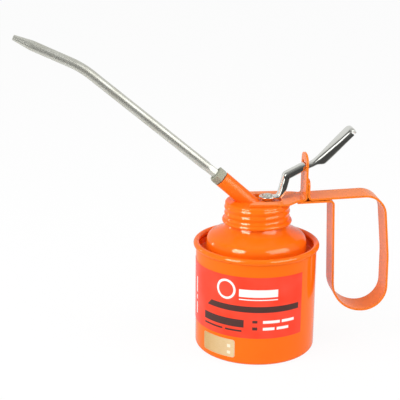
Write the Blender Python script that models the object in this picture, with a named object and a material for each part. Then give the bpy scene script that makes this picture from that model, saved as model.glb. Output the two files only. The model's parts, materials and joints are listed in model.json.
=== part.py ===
"""Pump oil can: drawn can, screwed pump head with strap handle, bent spout and rocking lever.

The origin is on the can's axis, on the face that it stands on. The handle is on the +X side and the
spout on the -X side, both in the plane Y = 0.
"""

import math

import bmesh
import bpy
from mathutils import Matrix, Vector

# Clearances
SEAT_GAP = 0.0003           # between two pieces that touch
RUNNING_GAP = 0.0003        # round a piece that slides or turns

# Can body
CAN_RADIUS = 0.0400
CAN_HEIGHT = 0.07285        # to the top of the rolled rim
CAN_WALL = 0.0006
CAN_CORNER = 0.0028
RIM_BEAD = 0.0020           # radius of the rolled bead
RIM_REACH = 0.00174         # how far the bead stands out of the wall

# Domed shoulder and neck
SHOULDER_WALL = 0.0008
MOAT_DEPTH = 0.0088         # from the rim's top to the floor of the moat
MOAT_WIDTH = 0.0068         # from the can's wall to the dome's skirt
CROWN_RISE = 0.00318        # the skirt's upper corner above the rim
CROWN_ROUND = 0.0060
CONE_RISE = 0.0064          # from the crown to the root of the neck
NECK_FILLET = 0.0060
NECK_RADIUS = 0.0194
NECK_HEIGHT = 0.01502

# Labels on the wall, with their first and last angles in degrees from +X
LABEL_SHEET = 0.0002
FRONT_LABEL_SPAN = (-190.0, -50.5)
FRONT_LABEL_LOW = 0.0193
FRONT_LABEL_DROP = 0.01205  # from the rim's top to the label's upper edge
FOIL_LABEL_SPAN = (-153.5, -116.8)
FOIL_LABEL_LOW = 0.0047
FOIL_LABEL_HEIGHT = 0.0123
FOIL_LABEL_CORNER = 0.0016

# Screw cap
CAP_SHEET = 0.0008
CAP_GAP = 0.0009            # between the neck and the cap's wall, filled by the rolled thread
CAP_SHOULDER = 0.0020
THREAD_PITCH = 0.0039
THREAD_DEPTH = 0.0004
THREAD_TURNS = 3
CAP_SKIRT = 0.0142          # from the cap's top down to its curled edge
CURL_RADIUS = 0.0011
CURL_REACH = 0.0019         # how far the curl stands out of the cap's wall
GASKET_SHEET = 0.0011
GASKET_WIDTH = 0.0030

# Pump
PUMP_X = 0.0067             # the pump's axis lies a little to the handle's side of the can's axis
BARREL_RADIUS = 0.0080
BARREL_WALL = 0.0010
BARREL_LENGTH = 0.0608
BARREL_HEAD = 0.0052        # thickness of the barrel's closed top
PACKING_LIP = 0.0012
PACKING_HEIGHT = 0.0015
GLAND_RADIUS = 0.0045
ROD_RADIUS = 0.0025
ROD_NECK_RADIUS = 0.0012
ROD_NECK_SINK = 0.0010      # the neck's root below the cap's top, at rest
BALL_RADIUS = 0.0026        # the riveted ball end that the lever's foot rocks on
BALL_HEIGHT = 0.0027        # the ball's centre above the cap's top
PISTON_REST = 0.0051        # the rod's lower end above the ball cage, at rest
TAIL_RADIUS = 0.0015
SEAL_SHEET = 0.0013
SEAL_LIP = 0.0028
PISTON_HEIGHT = 0.0033
PISTON_NUT_HEIGHT = 0.0023
PISTON_NUT_FLATS = 0.0055
SPRING_WIRE = 0.0006
SPRING_RADIUS = 0.0044
SPRING_TURNS = 8

# Suction side
FOOT_PLUG = 0.0048          # how far the foot reaches into the barrel
FOOT_FLANGE = 0.0047
SEAT_BORE = 0.0015
POCKET_RADIUS = 0.0029
POCKET_DEPTH = 0.0046
FOOT_BALL_RADIUS = 0.0022
CAGE_SHEET = 0.0008
FLOW_HOLES = 3
FLOW_HOLE_RADIUS = 0.0008
FLOW_HOLE_FACETS = 8
TUBE_RADIUS = 0.0025
TUBE_WALL = 0.0006
TUBE_SOCKET = 0.0035
STRAINER_RADIUS = 0.0062
STRAINER_HEIGHT = 0.0072
STRAINER_LIFT = 0.0020      # above the can's floor

# Spout
SPOUT_ANGLE = 41.3          # degrees above level, towards -X
SPOUT_FOOT_X = -0.00635     # where the socket's axis meets the cap's top
SOCKET_RADIUS = 0.0054
SOCKET_BORE = 0.0043
SOCKET_LENGTH = 0.0228      # from the cap's top to the nut
SOCKET_SEAT = 0.0080        # from the cap's top to the delivery ball's seat
PORT_RADIUS = 0.0016
PORT_DEPTH = 0.0038         # along the socket's axis, from the barrel's wall into the chamber
DELIVERY_BALL_RADIUS = 0.0026
DELIVERY_WIRE = 0.00035
DELIVERY_TURNS = 3
NUT_FLATS = 0.0100
NUT_LENGTH = 0.00525
NUT_SHANK_RADIUS = 0.0040
NUT_SHANK = 0.0045
FERRULE_LENGTH = 0.0013
PIPE_RADIUS = 0.0032
PIPE_WALL = 0.0008
PIPE_FLATS = 0.0058         # across the flats pressed on it beside the nut
PIPE_FLATS_LENGTH = 0.0060
PIPE_RISE_ANGLE = 39.6      # degrees above level after the nut
PIPE_RISE_LENGTH = 0.1008
PIPE_BEND_RADIUS = 0.0550
PIPE_END_ANGLE = 24.5       # degrees above level beyond the bend
PIPE_END_LENGTH = 0.0262
PIPE_TIP_LENGTH = 0.0120
PIPE_TIP_RADIUS = 0.0017

# Bracket: a plate on the cap that narrows to a strip and turns up as the slotted post
STRAP_SHEET = 0.0013
STRAP_WIDTH = 0.0187
PLATE_WIDTH = 0.0316
PLATE_LEFT_X = -0.0075
PLATE_TAPER_X = 0.0150
STEP_X = 0.0195             # the plate steps up here to pass over the handle's lower end
STEP_RUN = 0.0055
STEP_RISE = 0.00095
FORK_OPENING = 0.0188
FORK_END_X = 0.0152
FORK_CORNER = 0.0040
FORK_MOUTH_X = -0.0040
POST_X = 0.03095            # middle of the post's sheet
POST_HEIGHT = 0.0301        # above the plate's top
POST_BEND = 0.0022
ARCH_RISE = 0.0078          # height of the post's rounded top
ARCH_POWER = 2.5            # 2 is an ellipse, more is squarer
ARCH_STEPS = 8
WINDOW_WIDTH = 0.0120
WINDOW_LOW = 0.0185         # above the plate's top
WINDOW_HEIGHT = 0.0072
WINDOW_CORNER = 0.0015

# Strap handle
TAB_HEIGHT = 0.0135         # the tab behind the post, above the plate's top
TAB_CORNER = 0.0040
HANDLE_BEND = 0.0024
HANDLE_TOP_SLOPE = 0.043
HANDLE_TOP_CORNER_X = 0.08280
HANDLE_TOP_CORNER = 0.0138
HANDLE_GRIP_ROUND = 0.0800
HANDLE_GRIP_X = 0.08715
HANDLE_GRIP_DROP = 0.0395   # below the plate's top
HANDLE_LOW_X = 0.08775
HANDLE_LOW_DROP = 0.07725   # bottom of the loop, below the plate's top
HANDLE_LOW_CORNER = 0.0162
HANDLE_HEEL_X = 0.05145
HANDLE_HEEL_CORNER = 0.0202
HANDLE_ARM_X = 0.04895
HANDLE_ARM_BEND = 0.0024
HANDLE_UNDER_SLOPE = 0.030
HANDLE_END_X = 0.0252       # end of the lower layer, under the bracket

# Lever: a pressed channel with a dished foot and a wide thumb pad
LEVER_SHEET = 0.0011
LEVER_STATIONS = 0.0045     # longest stretch between two sections
FOOT_RING_RADIUS = 0.0056
FOOT_CUP_RADIUS = 0.0029
FOOT_LIP_RADIUS = 0.0023
LEVER_STEM_X = 0.0060       # from the ball's centre to the stem's root
LEVER_ELBOW = (0.0097, 0.0155, 0.0032)      # x and z from the ball's centre, and the bend's radius
LEVER_SADDLE = (0.0226, 0.0221, 0.0100)
LEVER_NECK = (0.0285, 0.0229, 0.0045)
LEVER_PAD_END = (0.0538, 0.0468, 0.0026)
LEVER_PAD_DROP = 0.0044
STEM_WIDTH = 0.0064
PAD_WIDTH = 0.0124
PAD_ROUNDING = 0.0078       # length of the pad's rounded end, along its bend
STEM_DEPTH = 0.0043
ELBOW_DEPTH = 0.0043
NECK_DEPTH = 0.0027
PAD_ROOT_DEPTH = 0.0060
PAD_TIP_DEPTH = 0.0038
LEVER_EDGE = 0.0013         # rounding of the channel's two upper edges

# Facets
CAN_FACETS = 48
CAP_FACETS = 40
SMALL_FACETS = 18
TINY_FACETS = 12
COIL_FACETS = 10
PIPE_FACETS = 18
ARC_STEP = math.radians(16)
SMALL_ARC = 0.0030          # arcs with a smaller radius have longer steps
SMALL_ARC_STEP = math.radians(32)
MERGE = 1e-7

# Places worked out from the sizes above
RIM_CENTRE_RADIUS = CAN_RADIUS + RIM_REACH - RIM_BEAD
RIM_CENTRE_Z = CAN_HEIGHT - RIM_BEAD
CAN_BORE = CAN_RADIUS - CAN_WALL
MOAT_FLOOR = CAN_HEIGHT - MOAT_DEPTH
SKIRT_RADIUS = CAN_RADIUS - MOAT_WIDTH
CROWN_Z = CAN_HEIGHT + CROWN_RISE
NECK_ROOT_Z = CROWN_Z + CONE_RISE
NECK_TOP = NECK_ROOT_Z + NECK_HEIGHT
CAP_BORE = NECK_RADIUS + CAP_GAP
CAP_RADIUS = CAP_BORE + CAP_SHEET
CAP_UNDER = NECK_TOP + GASKET_SHEET + 2 * SEAT_GAP
CAP_TOP = CAP_UNDER + CAP_SHEET
BARREL_TOP = CAP_UNDER - SEAT_GAP
BARREL_BOTTOM = BARREL_TOP - BARREL_LENGTH
BARREL_BORE = BARREL_RADIUS - BARREL_WALL
CHAMBER_TOP = BARREL_TOP - BARREL_HEAD
PACKING_LOW = CHAMBER_TOP + PACKING_LIP + SEAT_GAP
GLAND_LOW = PACKING_LOW + PACKING_HEIGHT + SEAT_GAP
BALL_CENTRE = Vector((PUMP_X, 0.0, CAP_TOP + BALL_HEIGHT))
PISTON_RADIUS = BARREL_BORE - RUNNING_GAP
FOOT_TOP = BARREL_BOTTOM + FOOT_PLUG
FOOT_LOW = BARREL_BOTTOM - SEAT_GAP - FOOT_FLANGE
CAGE_LOW = FOOT_TOP + SEAT_GAP
CAGE_TOP = CAGE_LOW + CAGE_SHEET
ROD_LOW = CAGE_TOP + PISTON_REST
PISTON_NUT_LOW = ROD_LOW + SEAT_GAP
PISTON_LOW = PISTON_NUT_LOW + PISTON_NUT_HEIGHT + SEAT_GAP
SEAL_LOW = PISTON_LOW + PISTON_HEIGHT + SEAT_GAP
ROD_SHOULDER_Z = SEAL_LOW + SEAL_SHEET + SEAT_GAP
FRONT_LABEL_HIGH = CAN_HEIGHT - FRONT_LABEL_DROP
FOIL_LABEL_HIGH = FOIL_LABEL_LOW + FOIL_LABEL_HEIGHT
TUBE_TOP = FOOT_LOW + TUBE_SOCKET - SEAT_GAP
STRAINER_LOW = CAN_WALL + STRAINER_LIFT
PLATE_LOW = CAP_TOP + SEAT_GAP
PLATE_TOP = PLATE_LOW + STRAP_SHEET
SPOUT_TILT = math.radians(SPOUT_ANGLE)
SPOUT_FOOT = Vector((SPOUT_FOOT_X, 0.0, CAP_TOP))
SPOUT_AXIS = Vector((-math.cos(SPOUT_TILT), 0.0, math.sin(SPOUT_TILT)))


def clear_objects():
    for item in list(bpy.data.objects):
        bpy.data.objects.remove(item, do_unlink=True)


def finish(name, colour, roughness, metallic):
    """A plain Principled material."""
    material = bpy.data.materials.new(name)
    material.use_nodes = True
    shader = material.node_tree.nodes["Principled BSDF"]
    shader.inputs["Base Color"].default_value = (*colour, 1.0)
    shader.inputs["Roughness"].default_value = roughness
    shader.inputs["Metallic"].default_value = metallic
    return material


def placed(name, mesh_data, material, origin=(0.0, 0.0, 0.0)):
    """Makes an object of a bmesh that is in world places, with its own origin at origin."""
    origin = Vector(origin)
    bmesh.ops.remove_doubles(mesh_data, verts=mesh_data.verts, dist=MERGE)
    bmesh.ops.recalc_face_normals(mesh_data, faces=mesh_data.faces)
    bmesh.ops.translate(mesh_data, verts=mesh_data.verts, vec=-origin)
    mesh = bpy.data.meshes.new(name)
    mesh_data.to_mesh(mesh)
    mesh_data.free()
    mesh.shade_smooth()
    mesh.set_sharp_from_angle(angle=math.radians(35))
    item = bpy.data.objects.new(name, mesh)
    item.location = origin
    item.data.materials.append(material)
    bpy.context.scene.collection.objects.link(item)
    return item


def cut(item, cutter):
    """Takes a cutter object away from an item, and keeps the result as the item's mesh."""
    cutter.hide_render = True
    cutter.display_type = "WIRE"
    boolean = item.modifiers.new("cut", "BOOLEAN")
    boolean.operation = "DIFFERENCE"
    boolean.solver = "EXACT"
    boolean.object = cutter
    bake(item)
    bpy.data.objects.remove(cutter, do_unlink=True)


def join(item, other):
    """Unites another object with an item, and keeps the result as the item's mesh."""
    boolean = item.modifiers.new("join", "BOOLEAN")
    boolean.operation = "UNION"
    boolean.solver = "EXACT"
    boolean.object = other
    bake(item)
    bpy.data.objects.remove(other, do_unlink=True)


def bake(item):
    """Replaces the item's mesh by its evaluated mesh."""
    bpy.context.view_layer.update()
    evaluated = item.evaluated_get(bpy.context.evaluated_depsgraph_get())
    mesh = bpy.data.meshes.new_from_object(evaluated)
    item.modifiers.clear()
    item.data = mesh


def triangles(item):
    """Splits the item's faces into triangles, for a shape whose faces aren't flat."""
    shape = bmesh.new()
    shape.from_mesh(item.data)
    bmesh.ops.triangulate(shape, faces=shape.faces)
    shape.to_mesh(item.data)
    shape.free()


def rounded(corners):
    """A path of points through corners (x, z, radius), with an arc at each corner that has a radius."""
    points = []
    for index, (x, z, radius) in enumerate(corners):
        here = Vector((x, z))
        if radius == 0 or index in (0, len(corners) - 1):
            points.append(here)
            continue
        before = (Vector(corners[index - 1][:2]) - here).normalized()
        after = (Vector(corners[index + 1][:2]) - here).normalized()
        half = before.angle(after) / 2
        reach = radius / math.tan(half)
        centre = here + (before + after).normalized() * (radius / math.sin(half))
        start = here + before * reach - centre
        turn = start.angle_signed(here + after * reach - centre)
        steps = max(2, math.ceil(abs(turn) / (ARC_STEP if radius > SMALL_ARC else SMALL_ARC_STEP)))
        for step in range(steps + 1):
            spoke = start.copy()
            spoke.rotate(Matrix.Rotation(-turn * step / steps, 2))
            points.append(centre + spoke)
    return points


def spaced(points, spacing):
    """The same path with points added, so that no stretch is longer than spacing."""
    path = [points[0]]
    for start, end in zip(points, points[1:]):
        steps = max(1, math.ceil((end - start).length / spacing))
        path += [start.lerp(end, step / steps) for step in range(1, steps + 1)]
    return path


def normals(points):
    """At each point of a path, the miter vector to its left, with a length of 1 / cos(half turn)."""
    left = []
    for index, here in enumerate(points):
        ahead = (points[min(index + 1, len(points) - 1)] - here).normalized()
        behind = (here - points[max(index - 1, 0)]).normalized()
        ahead = ahead if ahead.length else behind
        behind = behind if behind.length else ahead
        middle = (ahead + behind).normalized()
        side = Vector((-middle.y, middle.x))
        left.append(side / max(side.dot(Vector((-ahead.y, ahead.x))), 0.5))
    return left


def beside(points, distance):
    """The path moved to its left by a distance."""
    return [point + side * distance for point, side in zip(points, normals(points))]


def travelled(points):
    """The distance along the path at each point."""
    lengths = [0.0]
    for start, end in zip(points, points[1:]):
        lengths.append(lengths[-1] + (end - start).length)
    return lengths


def between(value, keys):
    """Smooth interpolation in a list of (place, result) keys."""
    if value <= keys[0][0]:
        return keys[0][1]
    for (low, first), (high, second) in zip(keys, keys[1:]):
        if value <= high:
            share = (value - low) / (high - low)
            share = share * share * (3 - 2 * share)
            return first + (second - first) * share
    return keys[-1][1]


def turned(profile, facets, axis_x=0.0, closed=True):
    """A bmesh turned round a vertical axis. A profile that isn't closed starts and ends on the axis."""
    shape = bmesh.new()
    line = [shape.verts.new((radius, 0.0, z)) for radius, z in profile]
    edges = [shape.edges.new(pair) for pair in zip(line, line[1:])]
    if closed:
        edges.append(shape.edges.new((line[-1], line[0])))
    bmesh.ops.spin(
        shape, geom=line + edges, cent=(0, 0, 0), axis=(0, 0, 1),
        angle=2 * math.pi, steps=facets, use_merge=True,
    )
    bmesh.ops.remove_doubles(shape, verts=shape.verts, dist=MERGE)
    bmesh.ops.recalc_face_normals(shape, faces=shape.faces)
    bmesh.ops.translate(shape, verts=shape.verts, vec=(axis_x, 0, 0))
    return shape


def along_spout(shape, start):
    """Lays a bmesh that was turned round Z along the spout's axis, from start beyond the cap's top."""
    lean = Vector((0, 0, 1)).rotation_difference(SPOUT_AXIS).to_matrix()
    bmesh.ops.rotate(shape, verts=shape.verts, cent=(0, 0, 0), matrix=lean)
    bmesh.ops.translate(shape, verts=shape.verts, vec=SPOUT_FOOT + SPOUT_AXIS * start)
    return shape


def sheet_profile(line, thickness):
    """A closed profile: the line, and the line moved to its left by the sheet's thickness."""
    return list(line) + list(reversed(beside(line, thickness)))


def arc(centre_r, centre_z, radius, start, end, steps):
    """Points of an arc, with angles in degrees from +r towards +z."""
    angles = [math.radians(start + (end - start) * step / steps) for step in range(steps + 1)]
    return [Vector((centre_r + radius * math.cos(a), centre_z + radius * math.sin(a))) for a in angles]


def rings_closed(shape, rings):
    """Joins rings of vertices with faces, and closes both ends."""
    for first, second in zip(rings, rings[1:]):
        count = len(first)
        for index in range(count):
            following = (index + 1) % count
            shape.faces.new((first[index], first[following], second[following], second[index]))
    shape.faces.new(tuple(reversed(rings[0])))
    shape.faces.new(tuple(rings[-1]))


def ribbon(points, thickness, widths):
    """A strip of sheet along a path in the XZ plane, with its width along Y at each point."""
    shape = bmesh.new()
    left = beside(points, thickness / 2)
    right = beside(points, -thickness / 2)
    rings = []
    for outer, inner, width in zip(left, right, widths):
        half = width / 2
        corners = ((outer, half), (inner, half), (inner, -half), (outer, -half))
        rings.append([shape.verts.new((point.x, y, point.y)) for point, y in corners])
    rings_closed(shape, rings)
    return shape


def prism(outline, low, high, across):
    """An outline extruded from low to high, along Z or along X."""
    shape = bmesh.new()
    place = {
        "Z": lambda a, b, depth: (a, b, depth),
        "X": lambda a, b, depth: (depth, a, b),
    }[across]
    face = shape.faces.new([shape.verts.new(place(a, b, low)) for a, b in outline])
    grown = bmesh.ops.extrude_face_region(shape, geom=[face])["geom"]
    moved = [part for part in grown if isinstance(part, bmesh.types.BMVert)]
    bmesh.ops.translate(shape, verts=moved, vec=place(0.0, 0.0, high - low))
    return shape


def hexagon(flats, low, high, axis_x=0.0):
    """A hexagonal prism with its corners chamfered, as a bmesh that stands on Z."""
    corner = flats / math.sqrt(3)
    chamfer = (corner - flats / 2) * 0.6
    shape = bmesh.new()
    rings = []
    levels = ((low, flats / 2), (low + chamfer, corner), (high - chamfer, corner), (high, flats / 2))
    for z, radius in levels:
        angles = [math.radians(30 + 60 * step) for step in range(6)]
        rings.append([
            shape.verts.new((axis_x + radius * math.cos(a), radius * math.sin(a), z)) for a in angles
        ])
    rings_closed(shape, rings)
    return shape


def coil(radius, wire, low, high, turns, axis_x=0.0):
    """A round wire spring with flat-ended turns, as a bmesh that stands on Z."""
    shape = bmesh.new()
    steps = turns * COIL_FACETS
    rings = []
    for step in range(steps + 1):
        angle = 2 * math.pi * step / COIL_FACETS
        z = low + wire + (high - low - 2 * wire) * step / steps
        ring = []
        for side in range(6):
            turn = math.pi / 3 * side
            reach = radius + wire * math.cos(turn)
            ring.append(shape.verts.new((
                axis_x + reach * math.cos(angle), reach * math.sin(angle), z + wire * math.sin(turn),
            )))
        rings.append(ring)
    rings_closed(shape, rings)
    return shape


def ball(radius, centre, facets=TINY_FACETS):
    """A ball as a bmesh."""
    shape = bmesh.new()
    bmesh.ops.create_uvsphere(shape, u_segments=facets, v_segments=facets // 2, radius=radius)
    bmesh.ops.translate(shape, verts=shape.verts, vec=centre)
    return shape


def make_can_body(paint):
    bead = arc(RIM_CENTRE_RADIUS, RIM_CENTRE_Z, RIM_BEAD, -75, 255, 11)
    outside = rounded([
        (0.0, 0.0, 0), (CAN_RADIUS, 0.0, CAN_CORNER), (CAN_RADIUS, RIM_CENTRE_Z - RIM_BEAD, 0),
    ])
    inside = rounded([
        (CAN_BORE, RIM_CENTRE_Z - RIM_BEAD, 0),
        (CAN_BORE, CAN_WALL, CAN_CORNER - CAN_WALL),
        (0.0, CAN_WALL, 0),
    ])
    placed("can_body", turned(outside + bead + inside, CAN_FACETS, closed=False), paint)


def make_can_shoulder(paint):
    half = SHOULDER_WALL / 2
    rim = CAN_BORE - SEAT_GAP - half
    flange_top = RIM_CENTRE_Z - RIM_BEAD - SEAT_GAP
    line = rounded([
        (rim, flange_top, 0),
        (rim, MOAT_FLOOR, 0.0014),
        (SKIRT_RADIUS - half, MOAT_FLOOR, 0.0014),
        (SKIRT_RADIUS - half, CROWN_Z, CROWN_ROUND),
        (NECK_RADIUS - half, NECK_ROOT_Z, NECK_FILLET),
        (NECK_RADIUS - half, NECK_TOP, 0),
    ])
    profile = sheet_profile(beside(line, -half), SHOULDER_WALL)
    placed("can_shoulder", turned(profile, CAN_FACETS), paint)


def facet_radius(radius, angle):
    """The distance from the axis to a face of the faceted can at an angle."""
    step = 2 * math.pi / CAN_FACETS
    return radius * math.cos(step / 2) / math.cos(angle % step - step / 2)


def make_label(name, span, low, high, corner, material):
    """A thin sheet on the can's wall, with its columns on the corners of the wall's facets."""
    first, last = math.radians(span[0]), math.radians(span[1])
    step = 2 * math.pi / CAN_FACETS
    angles = [first, last]
    angles += [index * step for index in range(math.ceil(first / step), math.floor(last / step) + 1)]
    turn = corner / CAN_RADIUS
    if corner:
        for share in (0.3, 1.0):
            angles += [first + turn * share, last - turn * share]
    shape = bmesh.new()
    rings = []
    for angle in sorted(set(angles)):
        edge = min(angle - first, last - angle) * CAN_RADIUS
        inset = corner - math.sqrt(max(corner ** 2 - max(corner - edge, 0.0) ** 2, 0.0))
        ring = []
        bottom, top = low + inset, high - inset
        for lift, z in ((0.0, bottom), (LABEL_SHEET, bottom), (LABEL_SHEET, top), (0.0, top)):
            radius = facet_radius(CAN_RADIUS + SEAT_GAP + lift, angle)
            ring.append(shape.verts.new((radius * math.cos(angle), radius * math.sin(angle), z)))
        rings.append(ring)
    rings_closed(shape, rings)
    placed(name, shape, material)


def cap_wall():
    """The cap's outer line from the middle of its top to the inside of its curl."""
    thread_low = CAP_TOP - CAP_SHOULDER - THREAD_PITCH * THREAD_TURNS
    wall = []
    steps = 4 * THREAD_TURNS
    for step in range(steps + 1):
        wave = (1 - math.cos(2 * math.pi * step / 4)) / 2
        drop = CAP_SHOULDER + THREAD_PITCH * step / 4
        wall.append(Vector((CAP_RADIUS + THREAD_DEPTH * wave, CAP_TOP - drop)))
    curl_r = CAP_RADIUS + CURL_REACH - CURL_RADIUS
    curl_z = CAP_TOP - CAP_SKIRT + CURL_RADIUS
    top = [Vector((0.0, CAP_TOP))]
    top += arc(CAP_RADIUS - CAP_SHOULDER, CAP_TOP - CAP_SHOULDER, CAP_SHOULDER, 90, 20, 3)
    flare = [Vector((CAP_RADIUS + 0.3 * CURL_REACH, (thread_low + curl_z + CURL_RADIUS) / 2))]
    curl = arc(curl_r, curl_z, CURL_RADIUS, 50, -120, 6)
    return top + wall + flare + curl


def make_screw_cap(paint):
    outside = cap_wall()
    thread_low = CAP_TOP - CAP_SKIRT + 2 * CURL_RADIUS
    thread = [point for point in outside if CAP_TOP - CAP_SHOULDER >= point.y > thread_low]
    inside = [Vector((point.x - CAP_SHEET, point.y)) for point in reversed(thread[:-1])]
    inside = [Vector((CAP_BORE, CAP_TOP - CAP_SKIRT + CURL_RADIUS))] + inside
    inside += [Vector((CAP_BORE, CAP_UNDER)), Vector((0.0, CAP_UNDER))]
    cap = placed("screw_cap", turned(outside + inside, CAP_FACETS, closed=False), paint)
    hole = GLAND_RADIUS + RUNNING_GAP
    reach = 4 * CAP_SHEET
    high, low = CAP_TOP + reach, CAP_UNDER - reach
    gland = [(0.0, high), (hole, high), (hole, low), (0.0, low)]
    cut(cap, placed("gland_cutter", turned(gland, SMALL_FACETS, PUMP_X, closed=False), paint))
    hole = SOCKET_RADIUS + SEAT_GAP
    reach = 3 * SOCKET_RADIUS
    socket = [(0.0, reach), (hole, reach), (hole, -reach), (0.0, -reach)]
    cut(cap, placed("socket_cutter", along_spout(turned(socket, SMALL_FACETS, closed=False), 0.0), paint))


def make_cap_gasket(material):
    outer = CAP_BORE - SEAT_GAP
    inner = outer - GASKET_WIDTH
    low = NECK_TOP + SEAT_GAP
    high = low + GASKET_SHEET
    ring = [(outer, high), (outer, low), (inner, low), (inner, high)]
    placed("cap_gasket", turned(ring, CAP_FACETS), material)


def make_pump_barrel(steel):
    gland = GLAND_RADIUS + RUNNING_GAP
    rod = ROD_RADIUS + RUNNING_GAP
    profile = [
        (gland, BARREL_TOP), (BARREL_RADIUS, BARREL_TOP), (BARREL_RADIUS, BARREL_BOTTOM),
        (BARREL_BORE, BARREL_BOTTOM), (BARREL_BORE, CHAMBER_TOP), (rod, CHAMBER_TOP),
        (rod, CHAMBER_TOP + PACKING_LIP), (gland, CHAMBER_TOP + PACKING_LIP),
    ]
    barrel = placed("pump_barrel", turned(profile, SMALL_FACETS + 8, PUMP_X), steel)
    wall = -(PUMP_X - BARREL_RADIUS - SPOUT_FOOT_X) / math.cos(SPOUT_TILT)
    near, far = wall + 1.4 * PORT_RADIUS, wall - PORT_DEPTH
    port = [(0.0, near), (PORT_RADIUS, near), (PORT_RADIUS, far), (0.0, far)]
    port = along_spout(turned(port, TINY_FACETS, closed=False), 0.0)
    cut(barrel, placed("port_cutter", port, steel))


def make_gland(brass, packing):
    outer = GLAND_RADIUS
    bore = ROD_RADIUS + RUNNING_GAP
    nut = [(bore, CAP_TOP), (outer, CAP_TOP), (outer, GLAND_LOW), (bore, GLAND_LOW)]
    placed("gland_nut", turned(nut, SMALL_FACETS, PUMP_X), brass)
    high = PACKING_LOW + PACKING_HEIGHT
    ring = [(bore, high), (outer, high), (outer, PACKING_LOW), (bore, PACKING_LOW)]
    placed("gland_packing", turned(ring, SMALL_FACETS, PUMP_X), packing)


def make_pump_rod(steel):
    neck_low = CAP_TOP - ROD_NECK_SINK
    root = -math.degrees(math.acos(ROD_NECK_RADIUS / BALL_RADIUS))
    head = arc(0.0, BALL_CENTRE.z, BALL_RADIUS, root, 45, 5)
    profile = [
        Vector((0.0, ROD_LOW)), Vector((TAIL_RADIUS, ROD_LOW)),
        Vector((TAIL_RADIUS, ROD_SHOULDER_Z)), Vector((ROD_RADIUS, ROD_SHOULDER_Z)),
        Vector((ROD_RADIUS, neck_low - ROD_RADIUS + ROD_NECK_RADIUS)), Vector((ROD_NECK_RADIUS, neck_low)),
        *head, Vector((0.0, BALL_CENTRE.z + 0.85 * BALL_RADIUS)),
    ]
    placed("pump_rod", turned(profile, SMALL_FACETS, PUMP_X, closed=False), steel, BALL_CENTRE)


def make_piston(brass, leather, steel):
    bore = TAIL_RADIUS + SEAT_GAP
    high = SEAL_LOW + SEAL_SHEET
    lip = PISTON_RADIUS - SEAL_SHEET / 2
    seal = [
        (bore, high), (lip, high), (lip, high + SEAL_LIP), (PISTON_RADIUS, high + SEAL_LIP),
        (PISTON_RADIUS, SEAL_LOW), (bore, SEAL_LOW),
    ]
    placed("piston_seal", turned(seal, SMALL_FACETS + 4, PUMP_X), leather)
    high = PISTON_LOW + PISTON_HEIGHT
    disc = [(bore, high), (PISTON_RADIUS, high), (PISTON_RADIUS, PISTON_LOW), (bore, PISTON_LOW)]
    placed("piston", turned(disc, SMALL_FACETS + 4, PUMP_X), brass)
    high = PISTON_NUT_LOW + PISTON_NUT_HEIGHT
    nut = placed("piston_nut", hexagon(PISTON_NUT_FLATS, PISTON_NUT_LOW, high, PUMP_X), steel)
    above, below = high + PISTON_NUT_HEIGHT, PISTON_NUT_LOW - PISTON_NUT_HEIGHT
    hole = [(0.0, above), (bore, above), (bore, below), (0.0, below)]
    cut(nut, placed("nut_cutter", turned(hole, TINY_FACETS, PUMP_X, closed=False), steel))


def make_pump_spring(steel):
    low = ROD_SHOULDER_Z
    high = CHAMBER_TOP - SEAT_GAP
    placed("pump_spring", coil(SPRING_RADIUS, SPRING_WIRE, low, high, SPRING_TURNS, PUMP_X), steel)


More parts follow.
